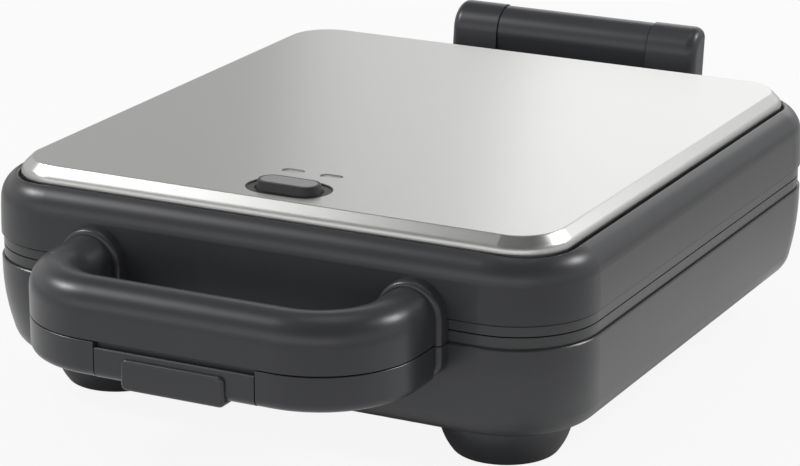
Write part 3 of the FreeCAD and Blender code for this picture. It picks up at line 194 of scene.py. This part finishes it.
# Screws, hinge axle and latch pin.
# Cold-headed or drawn carbon steel with a thin bright zinc plating. The four that hold the lower
# plate show their cross recesses in holes under the base; the others are inside.
ZINC = "#b9bcc0"
ZINC_WARM = "#c3bfae"
SCREW_PLACES = ((-45.0, -99.35), (45.0, -99.35), (-30.0, 126.65), (30.0, 126.65))
SCREW_PROFILE = ((0, 20.0), (0.25, 20.0), (0.5, 20.0), (0.75, 20.0), (1.0, 20.0), (1.25, 20.0),
                 (1.5, 20.0), (1.75, 20.02), (2.0, 20.05), (2.4, 20.15), (2.8, 20.4), (3.1, 20.8),
                 (3.2, 21.3), (3.2, 22.2), (1.9, 22.2), (1.9, 47.2), (0.7, 48.4), (0, 48.4))
CROSS_HALF_WIDTH = 0.42
CROSS_REACH = 1.9
CROSS_DEPTH = 1.1
SCREW_FACE = 20.5           # points of the profile below this height belong to the face
BATH_CLOUD = 3.0
PLATING_GRIT = 0.4          # the real crystals are about 0.01 mm, drawn coarser so that they show
PLATING_DEPTH = 0.05


def cross_recess(x, y, height):
    """Depth of the cross recess at a point of a screw's face."""
    reach = math.hypot(x, y)
    inside = min(abs(x), abs(y)) < CROSS_HALF_WIDTH and reach < CROSS_REACH and height < SCREW_FACE
    return CROSS_DEPTH * (1 - reach / (2 * CROSS_REACH)) if inside else 0.0


# Zinc plating: bright and cool, with faint warm clouds left by the passivation bath.
zinc, tree, shader, place = begin_material("zinc_plated_steel_passivated")
bath = add_node(tree, "ShaderNodeTexNoise", {}, {
    "Vector": place, "Scale": per_millimetre(BATH_CLOUD), "Detail": 3.0})
tone = add_node(tree, "ShaderNodeMix", {"data_type": "RGBA"}, {
    "Factor": bath.outputs["Fac"], 6: linear(ZINC), 7: linear(ZINC_WARM)})
gloss = add_node(tree, "ShaderNodeMapRange", {}, {
    "Value": bath.outputs["Fac"], "To Min": 0.22, "To Max": 0.38})
grit = add_node(tree, "ShaderNodeTexNoise", {}, {
    "Vector": place, "Scale": per_millimetre(PLATING_GRIT), "Detail": 2.0})
relief = add_node(tree, "ShaderNodeBump", {}, {
    "Height": grit.outputs["Fac"], "Strength": 0.15, "Distance": PLATING_DEPTH * MILLIMETRE})
finish_material(tree, shader, tone.outputs[2], gloss.outputs["Result"], relief.outputs["Normal"])
shader.inputs["Metallic"].default_value = 1.0
paint(zinc, "foot_screws", "upper_plate_screws", "handle_upper_screws", "handle_lower_screws",
      "hinge_arm_screws", "hinge_post_screws", "hinge_axle", "latch_pin")

plate_screws = turned("cross_head_screws", SCREW_PLACES, SCREW_PROFILE, cross_recess)
plate_screws.data.materials.append(zinc)
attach(plate_screws, "base")
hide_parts("lower_plate_screws")


# Cord gland at the back of the base, and the body of the switch under the button.
# Black polyamide, moulded. The gland is a bush clipped into a hole in the tub to guard the place
# where a cord enters; the switch stands on the board in the lid.
POLYAMIDE = "#101011"
POLYAMIDE_WORN = "#17171a"
FLOW_MARK = 6.0
POLYAMIDE_SKIN = 0.5        # the real skin has grain of about 0.1 mm, drawn coarser so that it shows
POLYAMIDE_SKIN_DEPTH = 0.1
POLYAMIDE_IOR = 1.53

# Moulded polyamide: near black and slightly waxy.
polyamide, tree, shader, place = begin_material("black_polyamide_moulded")
flow = add_node(tree, "ShaderNodeTexNoise", {}, {
    "Vector": place, "Scale": per_millimetre(FLOW_MARK), "Detail": 3.0})
tone = add_node(tree, "ShaderNodeMix", {"data_type": "RGBA"}, {
    "Factor": flow.outputs["Fac"], 6: linear(POLYAMIDE), 7: linear(POLYAMIDE_WORN)})
gloss = add_node(tree, "ShaderNodeMapRange", {}, {
    "Value": flow.outputs["Fac"], "To Min": 0.38, "To Max": 0.5})
skin = add_node(tree, "ShaderNodeTexNoise", {}, {
    "Vector": place, "Scale": per_millimetre(POLYAMIDE_SKIN), "Detail": 2.0})
relief = add_node(tree, "ShaderNodeBump", {}, {
    "Height": skin.outputs["Fac"], "Strength": 0.12, "Distance": POLYAMIDE_SKIN_DEPTH * MILLIMETRE})
finish_material(tree, shader, tone.outputs[2], gloss.outputs["Result"], relief.outputs["Normal"])
shader.inputs["IOR"].default_value = POLYAMIDE_IOR
paint(polyamide, "cord_gland", "button_switch")


# Bands round the cooking plates.
# Two frames of glass-filled polyester that stand the heat beside the plates, moulded, clipped into
# the open edges of tub and cover. Only their narrow outer faces show when the lid is shut.
BAND = "#3a3b3d"
BAND_FIBRE = "#404143"
FIBRE_WIDTH = 0.35          # real fibres are 0.01 mm thick, drawn coarser so that they show
FIBRE_LENGTH = 4.0
FIBRE_DEPTH = 0.08
POLYESTER_IOR = 1.49

# Glass-filled polyester: a shade paler than the shells, with short fibres along the flow.
band, tree, shader, place = begin_material("charcoal_glass_filled_polyester_moulded")
along = add_node(tree, "ShaderNodeVectorMath", {"operation": "MULTIPLY"}, {
    0: place, 1: (FIBRE_WIDTH / FIBRE_LENGTH, FIBRE_WIDTH / FIBRE_LENGTH, 1.0)})
fibre = add_node(tree, "ShaderNodeTexNoise", {}, {
    "Vector": along.outputs["Vector"], "Scale": per_millimetre(FIBRE_WIDTH), "Detail": 3.0})
tone = add_node(tree, "ShaderNodeMix", {"data_type": "RGBA"}, {
    "Factor": fibre.outputs["Fac"], 6: linear(BAND), 7: linear(BAND_FIBRE)})
gloss = add_node(tree, "ShaderNodeMapRange", {}, {
    "Value": fibre.outputs["Fac"], "To Min": 0.3, "To Max": 0.36})
relief = add_node(tree, "ShaderNodeBump", {}, {
    "Height": fibre.outputs["Fac"], "Strength": 0.15, "Distance": FIBRE_DEPTH * MILLIMETRE})
finish_material(tree, shader, tone.outputs[2], gloss.outputs["Result"], relief.outputs["Normal"])
shader.inputs["IOR"].default_value = POLYESTER_IOR
paint(band, "base_frame", "lid_frame")


# Cooking plates.
# Two aluminium die castings with four deep pockets each, grit blasted, sprayed with a dark
# fluoropolymer release coat and baked, then screwed to the shells.
RELEASE_COAT = "#1b1b1c"
RELEASE_COAT_PALE = "#262626"
FLECK = "#5a5752"
ORANGE_PEEL = 1.6
ORANGE_PEEL_DEPTH = 0.12
MIST_PATCH = 25.0
FLECK_SPACING = 2.2
FLECK_CORE = 0.08           # radius of a fleck, as a share of their spacing
FLECK_RIM = 0.14
RELEASE_COAT_IOR = 1.42

# Baked release coat: a dark half-gloss skin with orange peel and a few mica flecks.
release, tree, shader, place = begin_material("die_cast_aluminium_release_coated")
peel = add_node(tree, "ShaderNodeTexNoise", {}, {
    "Vector": place, "Scale": per_millimetre(ORANGE_PEEL), "Detail": 3.0})
mist = add_node(tree, "ShaderNodeTexNoise", {}, {
    "Vector": place, "Scale": per_millimetre(MIST_PATCH), "Detail": 4.0})
coat = add_node(tree, "ShaderNodeMix", {"data_type": "RGBA"}, {
    "Factor": mist.outputs["Fac"], 6: linear(RELEASE_COAT), 7: linear(RELEASE_COAT_PALE)})
cells = add_node(tree, "ShaderNodeTexVoronoi", {}, {
    "Vector": place, "Scale": per_millimetre(FLECK_SPACING)})
fleck = add_node(tree, "ShaderNodeMapRange", {}, {
    "Value": cells.outputs["Distance"], "From Min": FLECK_CORE, "From Max": FLECK_RIM,
    "To Min": 1.0, "To Max": 0.0})
tone = add_node(tree, "ShaderNodeMix", {"data_type": "RGBA"}, {
    "Factor": fleck.outputs["Result"], 6: coat.outputs[2], 7: linear(FLECK)})
gloss = add_node(tree, "ShaderNodeMapRange", {}, {
    "Value": mist.outputs["Fac"], "To Min": 0.3, "To Max": 0.42})
relief = add_node(tree, "ShaderNodeBump", {}, {
    "Height": peel.outputs["Fac"], "Strength": 0.2, "Distance": ORANGE_PEEL_DEPTH * MILLIMETRE})
finish_material(tree, shader, tone.outputs[2], gloss.outputs["Result"], relief.outputs["Normal"])
shader.inputs["IOR"].default_value = RELEASE_COAT_IOR
paint(release, "lower_cooking_plate", "upper_cooking_plate")


# Heating elements behind the plates.
# Steel tubes filled with magnesia round a heating wire, drawn, bent to a loop and pressed into the
# grooves of the castings.
SHEATH = "#4a4640"
SHEATH_TINT = "#5b5048"
TINT_PATCH = 14.0
FIRE_SCALE = 0.5
FIRE_SCALE_DEPTH = 0.05

# Heat-tinted steel sheath: drawn, dull and brownish from its first firing.
sheath, tree, shader, place = begin_material("drawn_steel_sheath_heat_tinted")
tint = add_node(tree, "ShaderNodeTexNoise", {}, {
    "Vector": place, "Scale": per_millimetre(TINT_PATCH), "Detail": 4.0})
tone = add_node(tree, "ShaderNodeMix", {"data_type": "RGBA"}, {
    "Factor": tint.outputs["Fac"], 6: linear(SHEATH), 7: linear(SHEATH_TINT)})
gloss = add_node(tree, "ShaderNodeMapRange", {}, {
    "Value": tint.outputs["Fac"], "To Min": 0.35, "To Max": 0.55})
scale = add_node(tree, "ShaderNodeTexNoise", {}, {
    "Vector": place, "Scale": per_millimetre(FIRE_SCALE), "Detail": 3.0})
relief = add_node(tree, "ShaderNodeBump", {}, {
    "Height": scale.outputs["Fac"], "Strength": 0.25, "Distance": FIRE_SCALE_DEPTH * MILLIMETRE})
finish_material(tree, shader, tone.outputs[2], gloss.outputs["Result"], relief.outputs["Normal"])
shader.inputs["Metallic"].default_value = 1.0
paint(sheath, "lower_heating_element", "upper_heating_element")


# Reflector trays, thermostats and thermal fuse.
# Aluminised sheet pressed to shallow trays that throw the heat back at the plates, and small drawn
# aluminium cans that sit on the castings.
MILL_SHEET = "#c4c5c4"
MILL_SHEET_DULL = "#b0b1b1"
ROLL_WIDTH = 1.2            # real roll lines are about 0.2 mm wide, drawn coarser so that they show
ROLL_LENGTH = 90.0
ROLL_DEPTH = 0.05

# Rolled aluminium: bright, with long faint lines from the rolls.
rolled, tree, shader, place = begin_material("aluminised_sheet_rolled")
drag = add_node(tree, "ShaderNodeVectorMath", {"operation": "MULTIPLY"}, {
    0: place, 1: (1.0, ROLL_WIDTH / ROLL_LENGTH, 1.0)})
lines = add_node(tree, "ShaderNodeTexNoise", {}, {
    "Vector": drag.outputs["Vector"], "Scale": per_millimetre(ROLL_WIDTH), "Detail": 3.0})
tone = add_node(tree, "ShaderNodeMix", {"data_type": "RGBA"}, {
    "Factor": lines.outputs["Fac"], 6: linear(MILL_SHEET), 7: linear(MILL_SHEET_DULL)})
gloss = add_node(tree, "ShaderNodeMapRange", {}, {
    "Value": lines.outputs["Fac"], "To Min": 0.25, "To Max": 0.4})
relief = add_node(tree, "ShaderNodeBump", {}, {
    "Height": lines.outputs["Fac"], "Strength": 0.08, "Distance": ROLL_DEPTH * MILLIMETRE})
finish_material(tree, shader, tone.outputs[2], gloss.outputs["Result"], relief.outputs["Normal"])
shader.inputs["Metallic"].default_value = 1.0
paint(rolled, "lower_reflector", "upper_reflector", "lower_thermostat", "upper_thermostat", "thermal_fuse")


# Terminal block on the floor of the base.
# Pressed and fired steatite that keeps the mains joints away from the moulded tub.
STEATITE = "#d9d4c6"
STEATITE_GREY = "#cbc6b9"
FIRING_CLOUD = 5.0
SAND_GRAIN = 0.4            # the real tooth is about 0.1 mm, drawn coarser so that it shows
SAND_DEPTH = 0.08

# Fired steatite: off-white, dry, with a fine sandy tooth.
steatite, tree, shader, place = begin_material("steatite_ceramic_fired")
firing = add_node(tree, "ShaderNodeTexNoise", {}, {
    "Vector": place, "Scale": per_millimetre(FIRING_CLOUD), "Detail": 5.0})
tone = add_node(tree, "ShaderNodeMix", {"data_type": "RGBA"}, {
    "Factor": firing.outputs["Fac"], 6: linear(STEATITE), 7: linear(STEATITE_GREY)})
gloss = add_node(tree, "ShaderNodeMapRange", {}, {
    "Value": firing.outputs["Fac"], "To Min": 0.55, "To Max": 0.7})
sand = add_node(tree, "ShaderNodeTexNoise", {}, {
    "Vector": place, "Scale": per_millimetre(SAND_GRAIN), "Detail": 2.0})
relief = add_node(tree, "ShaderNodeBump", {}, {
    "Height": sand.outputs["Fac"], "Strength": 0.3, "Distance": SAND_DEPTH * MILLIMETRE})
finish_material(tree, shader, tone.outputs[2], gloss.outputs["Result"], relief.outputs["Normal"])
paint(steatite, "terminal_block")


# Stainless plate on the lid.
# Folded from 0.8 mm ferritic stainless sheet that was ground from side to side with a fine belt
# before folding, and glued to the deck of the lid.
STEEL = "#c8c8c6"
STEEL_SHADE = "#bfbfbd"
GRIND_WIDTH = 0.35          # real scratches are about 0.05 mm wide, drawn coarser so that they show
GRIND_LENGTH = 45.0
GRIND_DEPTH = 0.04
GRIND_SPREAD = 0.5
ACROSS_SCRATCHES = (0.0, 1.0, 0.0)

# Belt-ground stainless: long fine scratches across the lid that spread reflections front to back.
stainless, tree, shader, place = begin_material("stainless_steel_belt_ground")
stretch = add_node(tree, "ShaderNodeVectorMath", {"operation": "MULTIPLY"}, {
    0: place, 1: (GRIND_WIDTH / GRIND_LENGTH, 1.0, 1.0)})
scratch = add_node(tree, "ShaderNodeTexNoise", {}, {
    "Vector": stretch.outputs["Vector"], "Scale": per_millimetre(GRIND_WIDTH),
    "Detail": 4.0, "Roughness": 0.65})
tone = add_node(tree, "ShaderNodeMix", {"data_type": "RGBA"}, {
    "Factor": scratch.outputs["Fac"], 6: linear(STEEL_SHADE), 7: linear(STEEL)})
gloss = add_node(tree, "ShaderNodeMapRange", {}, {
    "Value": scratch.outputs["Fac"], "To Min": 0.26, "To Max": 0.36})
relief = add_node(tree, "ShaderNodeBump", {}, {
    "Height": scratch.outputs["Fac"], "Strength": 0.05, "Distance": GRIND_DEPTH * MILLIMETRE})
across = add_node(tree, "ShaderNodeVectorTransform", {
    "vector_type": "VECTOR", "convert_from": "OBJECT", "convert_to": "WORLD"}, {"Vector": ACROSS_SCRATCHES})
finish_material(tree, shader, tone.outputs[2], gloss.outputs["Result"], relief.outputs["Normal"])
tree.links.new(across.outputs["Vector"], shader.inputs["Tangent"])
shader.inputs["Metallic"].default_value = 1.0
shader.inputs["Anisotropic"].default_value = GRIND_SPREAD
paint(stainless, "lid_top_plate")


# Push button and its dish.
# Black ABS, injection moulded in a finely blasted tool; the button slides in the dish and is held
# up by a spring under its flange.
BLACK_ABS = "#0d0d0e"
BLACK_ABS_PALE = "#131314"
MOULD_WAVE = 7.0
BLAST_GRAIN = 0.8           # the real grain is about 0.05 mm, drawn coarser so that it shows
BLAST_DEPTH = 0.05
ABS_IOR = 1.53

# Satin ABS: near black with a dull sheen and a very slight waviness.
black_abs, tree, shader, place = begin_material("black_abs_satin_mould")
wave = add_node(tree, "ShaderNodeTexNoise", {}, {
    "Vector": place, "Scale": per_millimetre(MOULD_WAVE), "Detail": 2.0})
tone = add_node(tree, "ShaderNodeMix", {"data_type": "RGBA"}, {
    "Factor": wave.outputs["Fac"], 6: linear(BLACK_ABS), 7: linear(BLACK_ABS_PALE)})
gloss = add_node(tree, "ShaderNodeMapRange", {}, {
    "Value": wave.outputs["Fac"], "To Min": 0.4, "To Max": 0.48})
skin = add_node(tree, "ShaderNodeTexNoise", {}, {
    "Vector": place, "Scale": per_millimetre(BLAST_GRAIN), "Detail": 2.0})
relief = add_node(tree, "ShaderNodeBump", {}, {
    "Height": skin.outputs["Fac"], "Strength": 0.06, "Distance": BLAST_DEPTH * MILLIMETRE})
finish_material(tree, shader, tone.outputs[2], gloss.outputs["Result"], relief.outputs["Normal"])
shader.inputs["IOR"].default_value = ABS_IOR
paint(black_abs, "button_bezel", "button_body")


# Inlay of the push button.
# Thin ABS blank sprayed with silver lacquer and glued into the top of the button.
LACQUER = "#878787"
LACQUER_FLAKE = "#9d9d9d"
FLAKE = 0.25                # real flakes are about 0.03 mm, drawn coarser so that they show
FLAKE_DEPTH = 0.03
LACQUER_METAL = 0.6         # share of flake in the lacquer

# Silver lacquer: satin grey with tiny aluminium flakes.
lacquer, tree, shader, place = begin_material("silver_lacquer_sprayed")
flakes = add_node(tree, "ShaderNodeTexVoronoi", {}, {
    "Vector": place, "Scale": per_millimetre(FLAKE)})
tone = add_node(tree, "ShaderNodeMix", {"data_type": "RGBA"}, {
    "Factor": flakes.outputs["Distance"], 6: linear(LACQUER), 7: linear(LACQUER_FLAKE)})
gloss = add_node(tree, "ShaderNodeMapRange", {}, {
    "Value": flakes.outputs["Distance"], "To Min": 0.35, "To Max": 0.5})
relief = add_node(tree, "ShaderNodeBump", {}, {
    "Height": flakes.outputs["Distance"], "Strength": 0.08, "Distance": FLAKE_DEPTH * MILLIMETRE})
finish_material(tree, shader, tone.outputs[2], gloss.outputs["Result"], relief.outputs["Normal"])
shader.inputs["Metallic"].default_value = LACQUER_METAL
paint(lacquer, "button_inlay")


# Lenses and lamps.
# Two clear polycarbonate light pipes, moulded with a frosted foot, pressed into the deck over two
# diffused lamps on the board.
CLEAR_TINT = "#b2b4b4"
CLEAR_TINT_DULL = "#a4a6a6"
CLEAR_SHARE = 0.35          # light that passes; the frosted foot throws the rest back
HAZE_CLOUD = 1.5
HAZE_DEPTH = 0.05
POLYCARBONATE_IOR = 1.58
LAMP_EPOXY = "#c9a79c"
LAMP_EPOXY_DEEP = "#b58a7e"
MILK_CLOUD = 0.8
MILK_DEPTH = 0.05
EPOXY_IOR = 1.5
LAMP_PLACES = ((-10.95, -82.35), (8.15, -82.35))
LAMP_NAMES = ("power_lamp", "ready_lamp")
LAMP_PROFILE = ((0, 98.6), (1.5, 98.6), (1.5, 99.0), (1.3, 99.05), (1.3, 99.7),
                (1.2, 100.05), (0.95, 100.35), (0.5, 100.55), (0, 100.6))

# Clear polycarbonate over a frosted foot: silvery, with a polished top.
clear, tree, shader, place = begin_material("clear_polycarbonate_frosted_foot")
haze = add_node(tree, "ShaderNodeTexNoise", {}, {
    "Vector": place, "Scale": per_millimetre(HAZE_CLOUD), "Detail": 2.0})
tone = add_node(tree, "ShaderNodeMix", {"data_type": "RGBA"}, {
    "Factor": haze.outputs["Fac"], 6: linear(CLEAR_TINT), 7: linear(CLEAR_TINT_DULL)})
gloss = add_node(tree, "ShaderNodeMapRange", {}, {
    "Value": haze.outputs["Fac"], "To Min": 0.12, "To Max": 0.2})
relief = add_node(tree, "ShaderNodeBump", {}, {
    "Height": haze.outputs["Fac"], "Strength": 0.05, "Distance": HAZE_DEPTH * MILLIMETRE})
finish_material(tree, shader, tone.outputs[2], gloss.outputs["Result"], relief.outputs["Normal"])
shader.inputs["IOR"].default_value = POLYCARBONATE_IOR
shader.inputs["Transmission Weight"].default_value = CLEAR_SHARE
paint(clear, "power_lens", "ready_lens")

# Diffused epoxy: milky and faintly pink while unlit.
epoxy, tree, shader, place = begin_material("diffused_epoxy_cast")
milk = add_node(tree, "ShaderNodeTexNoise", {}, {
    "Vector": place, "Scale": per_millimetre(MILK_CLOUD), "Detail": 3.0})
tone = add_node(tree, "ShaderNodeMix", {"data_type": "RGBA"}, {
    "Factor": milk.outputs["Fac"], 6: linear(LAMP_EPOXY), 7: linear(LAMP_EPOXY_DEEP)})
gloss = add_node(tree, "ShaderNodeMapRange", {}, {
    "Value": milk.outputs["Fac"], "To Min": 0.15, "To Max": 0.25})
relief = add_node(tree, "ShaderNodeBump", {}, {
    "Height": milk.outputs["Fac"], "Strength": 0.05, "Distance": MILK_DEPTH * MILLIMETRE})
finish_material(tree, shader, tone.outputs[2], gloss.outputs["Result"], relief.outputs["Normal"])
shader.inputs["IOR"].default_value = EPOXY_IOR

for name, spot in zip(LAMP_NAMES, LAMP_PLACES):
    lamp = turned(name + "_dome", (spot,), LAMP_PROFILE, plain_face)
    lamp.data.materials.append(epoxy)
    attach(lamp, "lid")
    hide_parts(name)


# Control board under the deck of the lid.
# Glass-epoxy laminate with copper tracks under green solder mask, staked on two posts.
MASK = "#1f5a37"
MASK_TRACK = "#2a6b42"
TRACK_PITCH = 2.5
TRACK_SHARE = 0.05          # half the width of a track, as a share of the pitch
TRACK_RUN = 6.0             # length between two cross tracks, in pitches
TRACK_DEPTH = 0.05

# Green solder mask: glossy, a shade lighter and raised where the copper tracks run.
board, tree, shader, place = begin_material("glass_epoxy_solder_masked")
tracks = add_node(tree, "ShaderNodeTexBrick", {}, {
    "Vector": place, "Scale": per_millimetre(TRACK_PITCH), "Color1": linear(MASK), "Color2": linear(MASK),
    "Mortar": linear(MASK_TRACK), "Mortar Size": TRACK_SHARE, "Brick Width": TRACK_RUN, "Row Height": 1.0})
gloss = add_node(tree, "ShaderNodeMapRange", {}, {
    "Value": tracks.outputs["Fac"], "To Min": 0.28, "To Max": 0.35})
relief = add_node(tree, "ShaderNodeBump", {}, {
    "Height": tracks.outputs["Fac"], "Strength": 0.3, "Distance": TRACK_DEPTH * MILLIMETRE})
finish_material(tree, shader, tracks.outputs["Color"], gloss.outputs["Result"], relief.outputs["Normal"])
paint(board, "control_board")


# Studio: pale floor, soft boxes left, right and overhead, a front fill and the photograph's camera.
# The boxes stand where the highlights on handle, corners and hinge show them. The card behind the
# object brightens the right side of the stainless plate, and a dim second one softens its edge.
CAMERA_PLACE = Vector((0.65223, -1.27406, 0.51256))     # the studio is laid out in metres
CAMERA_AIM = Vector((-0.006333, 0.011226, 0.053052))
CAMERA_LENS = 145.863
SENSOR_WIDTH = 36.0
VIEW_REACH = 100.0
FLOOR_HALF = 15.0
FLOOR_WHITE = "#d2d2d0"
FLOOR_ROUGHNESS = 0.9
SEEN_WHITE = 0.9            # share of plain white that the camera sees; the rest keeps the shadow
# Painted glow: mirrors see the floor painted white close to the object, fading out with distance.
PAINTED_MIRROR_GLOW = 0.95       # the same in mirrored floor, from MIRROR_NEAR, fading out to MIRROR_FAR
MIRROR_NEAR = 0.2
MIRROR_FAR = 0.5
# Painted shadow: the painted glow is cut away in a square under the object, so mirrors see the floor dark
# there.
SHADOW_CORE = 0.12          # mirrored floor is dark under the object, to this far from its middle
SHADOW_EDGE = 0.165
HORIZON_LEVEL = 0.75
HORIZON_TOP = 0.28
OVERHEAD_LEVEL = 0.15
OVERHEAD_START = 0.66

camera = bpy.data.objects.new("camera", bpy.data.cameras.new("camera"))
camera.data.lens = CAMERA_LENS
camera.data.sensor_width = SENSOR_WIDTH
camera.data.clip_end = VIEW_REACH
camera.location = CAMERA_PLACE
camera.rotation_euler = (CAMERA_AIM - CAMERA_PLACE).to_track_quat("-Z", "Y").to_euler()
bpy.context.scene.collection.objects.link(camera)
bpy.context.scene.camera = camera


def soft_box(name, around, height, distance, width, tall, watts):
    """Rectangular lamp that faces the object: degrees from the back and up, metres, watts."""
    lamp = bpy.data.lights.new(name, "AREA")
    lamp.shape = "RECTANGLE"
    lamp.size = width
    lamp.size_y = tall
    lamp.energy = watts
    turn, lift = math.radians(around), math.radians(height)
    way = Vector((math.sin(turn) * math.cos(lift), math.cos(turn) * math.cos(lift), math.sin(lift)))
    box = bpy.data.objects.new(name, lamp)
    box.visible_camera = False
    box.location = CAMERA_AIM + way * distance
    box.rotation_euler = (-way).to_track_quat("-Z", "Y").to_euler()
    bpy.context.scene.collection.objects.link(box)


soft_box("left_soft_box", around=-109, height=40, distance=1.45, width=0.26, tall=0.22, watts=6.2)
soft_box("left_diffuser", around=-117, height=50, distance=1.5, width=0.6, tall=0.5, watts=2.7)
soft_box("right_soft_box", around=56, height=40, distance=1.5, width=0.3, tall=0.3, watts=8)
soft_box("rear_card", around=-3, height=24.0, distance=1.09, width=0.72, tall=0.43, watts=1.35)
soft_box("rear_card_edge", around=-27, height=21.5, distance=1.19, width=0.18, tall=0.43, watts=0.14)
soft_box("front_fill", around=178, height=14, distance=2.0, width=4.0, tall=0.7, watts=6.4)
soft_box("top_box", around=0, height=84, distance=1.3, width=0.62, tall=0.55, watts=1.1)

floor_mesh = bpy.data.meshes.new("floor")
corners = [(-FLOOR_HALF, -FLOOR_HALF, 0), (FLOOR_HALF, -FLOOR_HALF, 0),
           (FLOOR_HALF, FLOOR_HALF, 0), (-FLOOR_HALF, FLOOR_HALF, 0)]
floor_mesh.from_pydata(corners, [], [(0, 1, 2, 3)])
floor = bpy.data.objects.new("floor", floor_mesh)
bpy.context.scene.collection.objects.link(floor)

# Matt paper: white without sheen, on which the object's shadow shows; mirrors see a painted white glow on
# it close to the object, fading outward, with a painted shadow under the object.
paper, tree, shader, place = begin_material("matt_white_paper")
shader.inputs["Base Color"].default_value = linear(FLOOR_WHITE)
shader.inputs["Roughness"].default_value = FLOOR_ROUGHNESS
path = add_node(tree, "ShaderNodeLightPath", {}, {})
white = add_node(tree, "ShaderNodeEmission", {}, {"Color": (1, 1, 1, 1), "Strength": 1.0})
# Painted glow in mirrors: white close to the object, fading with distance from its middle.
mirrored = add_node(tree, "ShaderNodeMath", {"operation": "MAXIMUM"}, {
    0: path.outputs["Is Glossy Ray"], 1: path.outputs["Is Transmission Ray"]})
reach = add_node(tree, "ShaderNodeVectorMath", {"operation": "LENGTH"}, {0: place})
near = add_node(tree, "ShaderNodeMapRange", {"interpolation_type": "SMOOTHSTEP"}, {
    "Value": reach.outputs["Value"], "From Min": MIRROR_NEAR, "From Max": MIRROR_FAR,
    "To Min": PAINTED_MIRROR_GLOW, "To Max": 0.0})
# Painted shadow: a square under the object where the mirrored glow is cut away.
sides = add_node(tree, "ShaderNodeVectorMath", {"operation": "ABSOLUTE"}, {0: place})
sides = add_node(tree, "ShaderNodeSeparateXYZ", {}, {"Vector": sides.outputs["Vector"]})
outside = add_node(tree, "ShaderNodeMath", {"operation": "MAXIMUM"}, {
    0: sides.outputs["X"], 1: sides.outputs["Y"]})
outside_painted_shadow = add_node(tree, "ShaderNodeMapRange", {"interpolation_type": "SMOOTHSTEP"}, {
    "Value": outside.outputs[0], "From Min": SHADOW_CORE, "From Max": SHADOW_EDGE})
near = add_node(tree, "ShaderNodeMath", {"operation": "MULTIPLY"}, {
    0: near.outputs["Result"], 1: outside_painted_shadow.outputs["Result"]})
mirrored = add_node(tree, "ShaderNodeMath", {"operation": "MULTIPLY"}, {
    0: mirrored.outputs[0], 1: near.outputs[0]})
share = add_node(tree, "ShaderNodeMath", {"operation": "MULTIPLY_ADD"}, {
    0: path.outputs["Is Camera Ray"], 1: SEEN_WHITE, 2: mirrored.outputs[0]})
blend = add_node(tree, "ShaderNodeMixShader", {}, {
    0: share.outputs[0], 1: shader.outputs["BSDF"], 2: white.outputs["Emission"]})
tree.links.new(blend.outputs["Shader"], tree.nodes["Material Output"].inputs["Surface"])
floor_mesh.materials.append(paper)

# Studio walls: pale near the horizon and dim overhead.
world = bpy.data.worlds.new("studio")
bpy.context.scene.world = world
world.use_nodes = True
tree = world.node_tree
way = add_node(tree, "ShaderNodeTexCoord", {}, {})
height = add_node(tree, "ShaderNodeSeparateXYZ", {}, {"Vector": way.outputs["Generated"]})
level = add_node(tree, "ShaderNodeMapRange", {"interpolation_type": "SMOOTHSTEP"}, {
    "Value": height.outputs["Z"], "From Min": HORIZON_TOP, "From Max": OVERHEAD_START,
    "To Min": HORIZON_LEVEL, "To Max": OVERHEAD_LEVEL})
tree.nodes["Background"].inputs["Color"].default_value = (1, 1, 1, 1)
tree.links.new(level.outputs["Result"], tree.nodes["Background"].inputs["Strength"])
bpy.context.scene.view_settings.view_transform = "Standard"
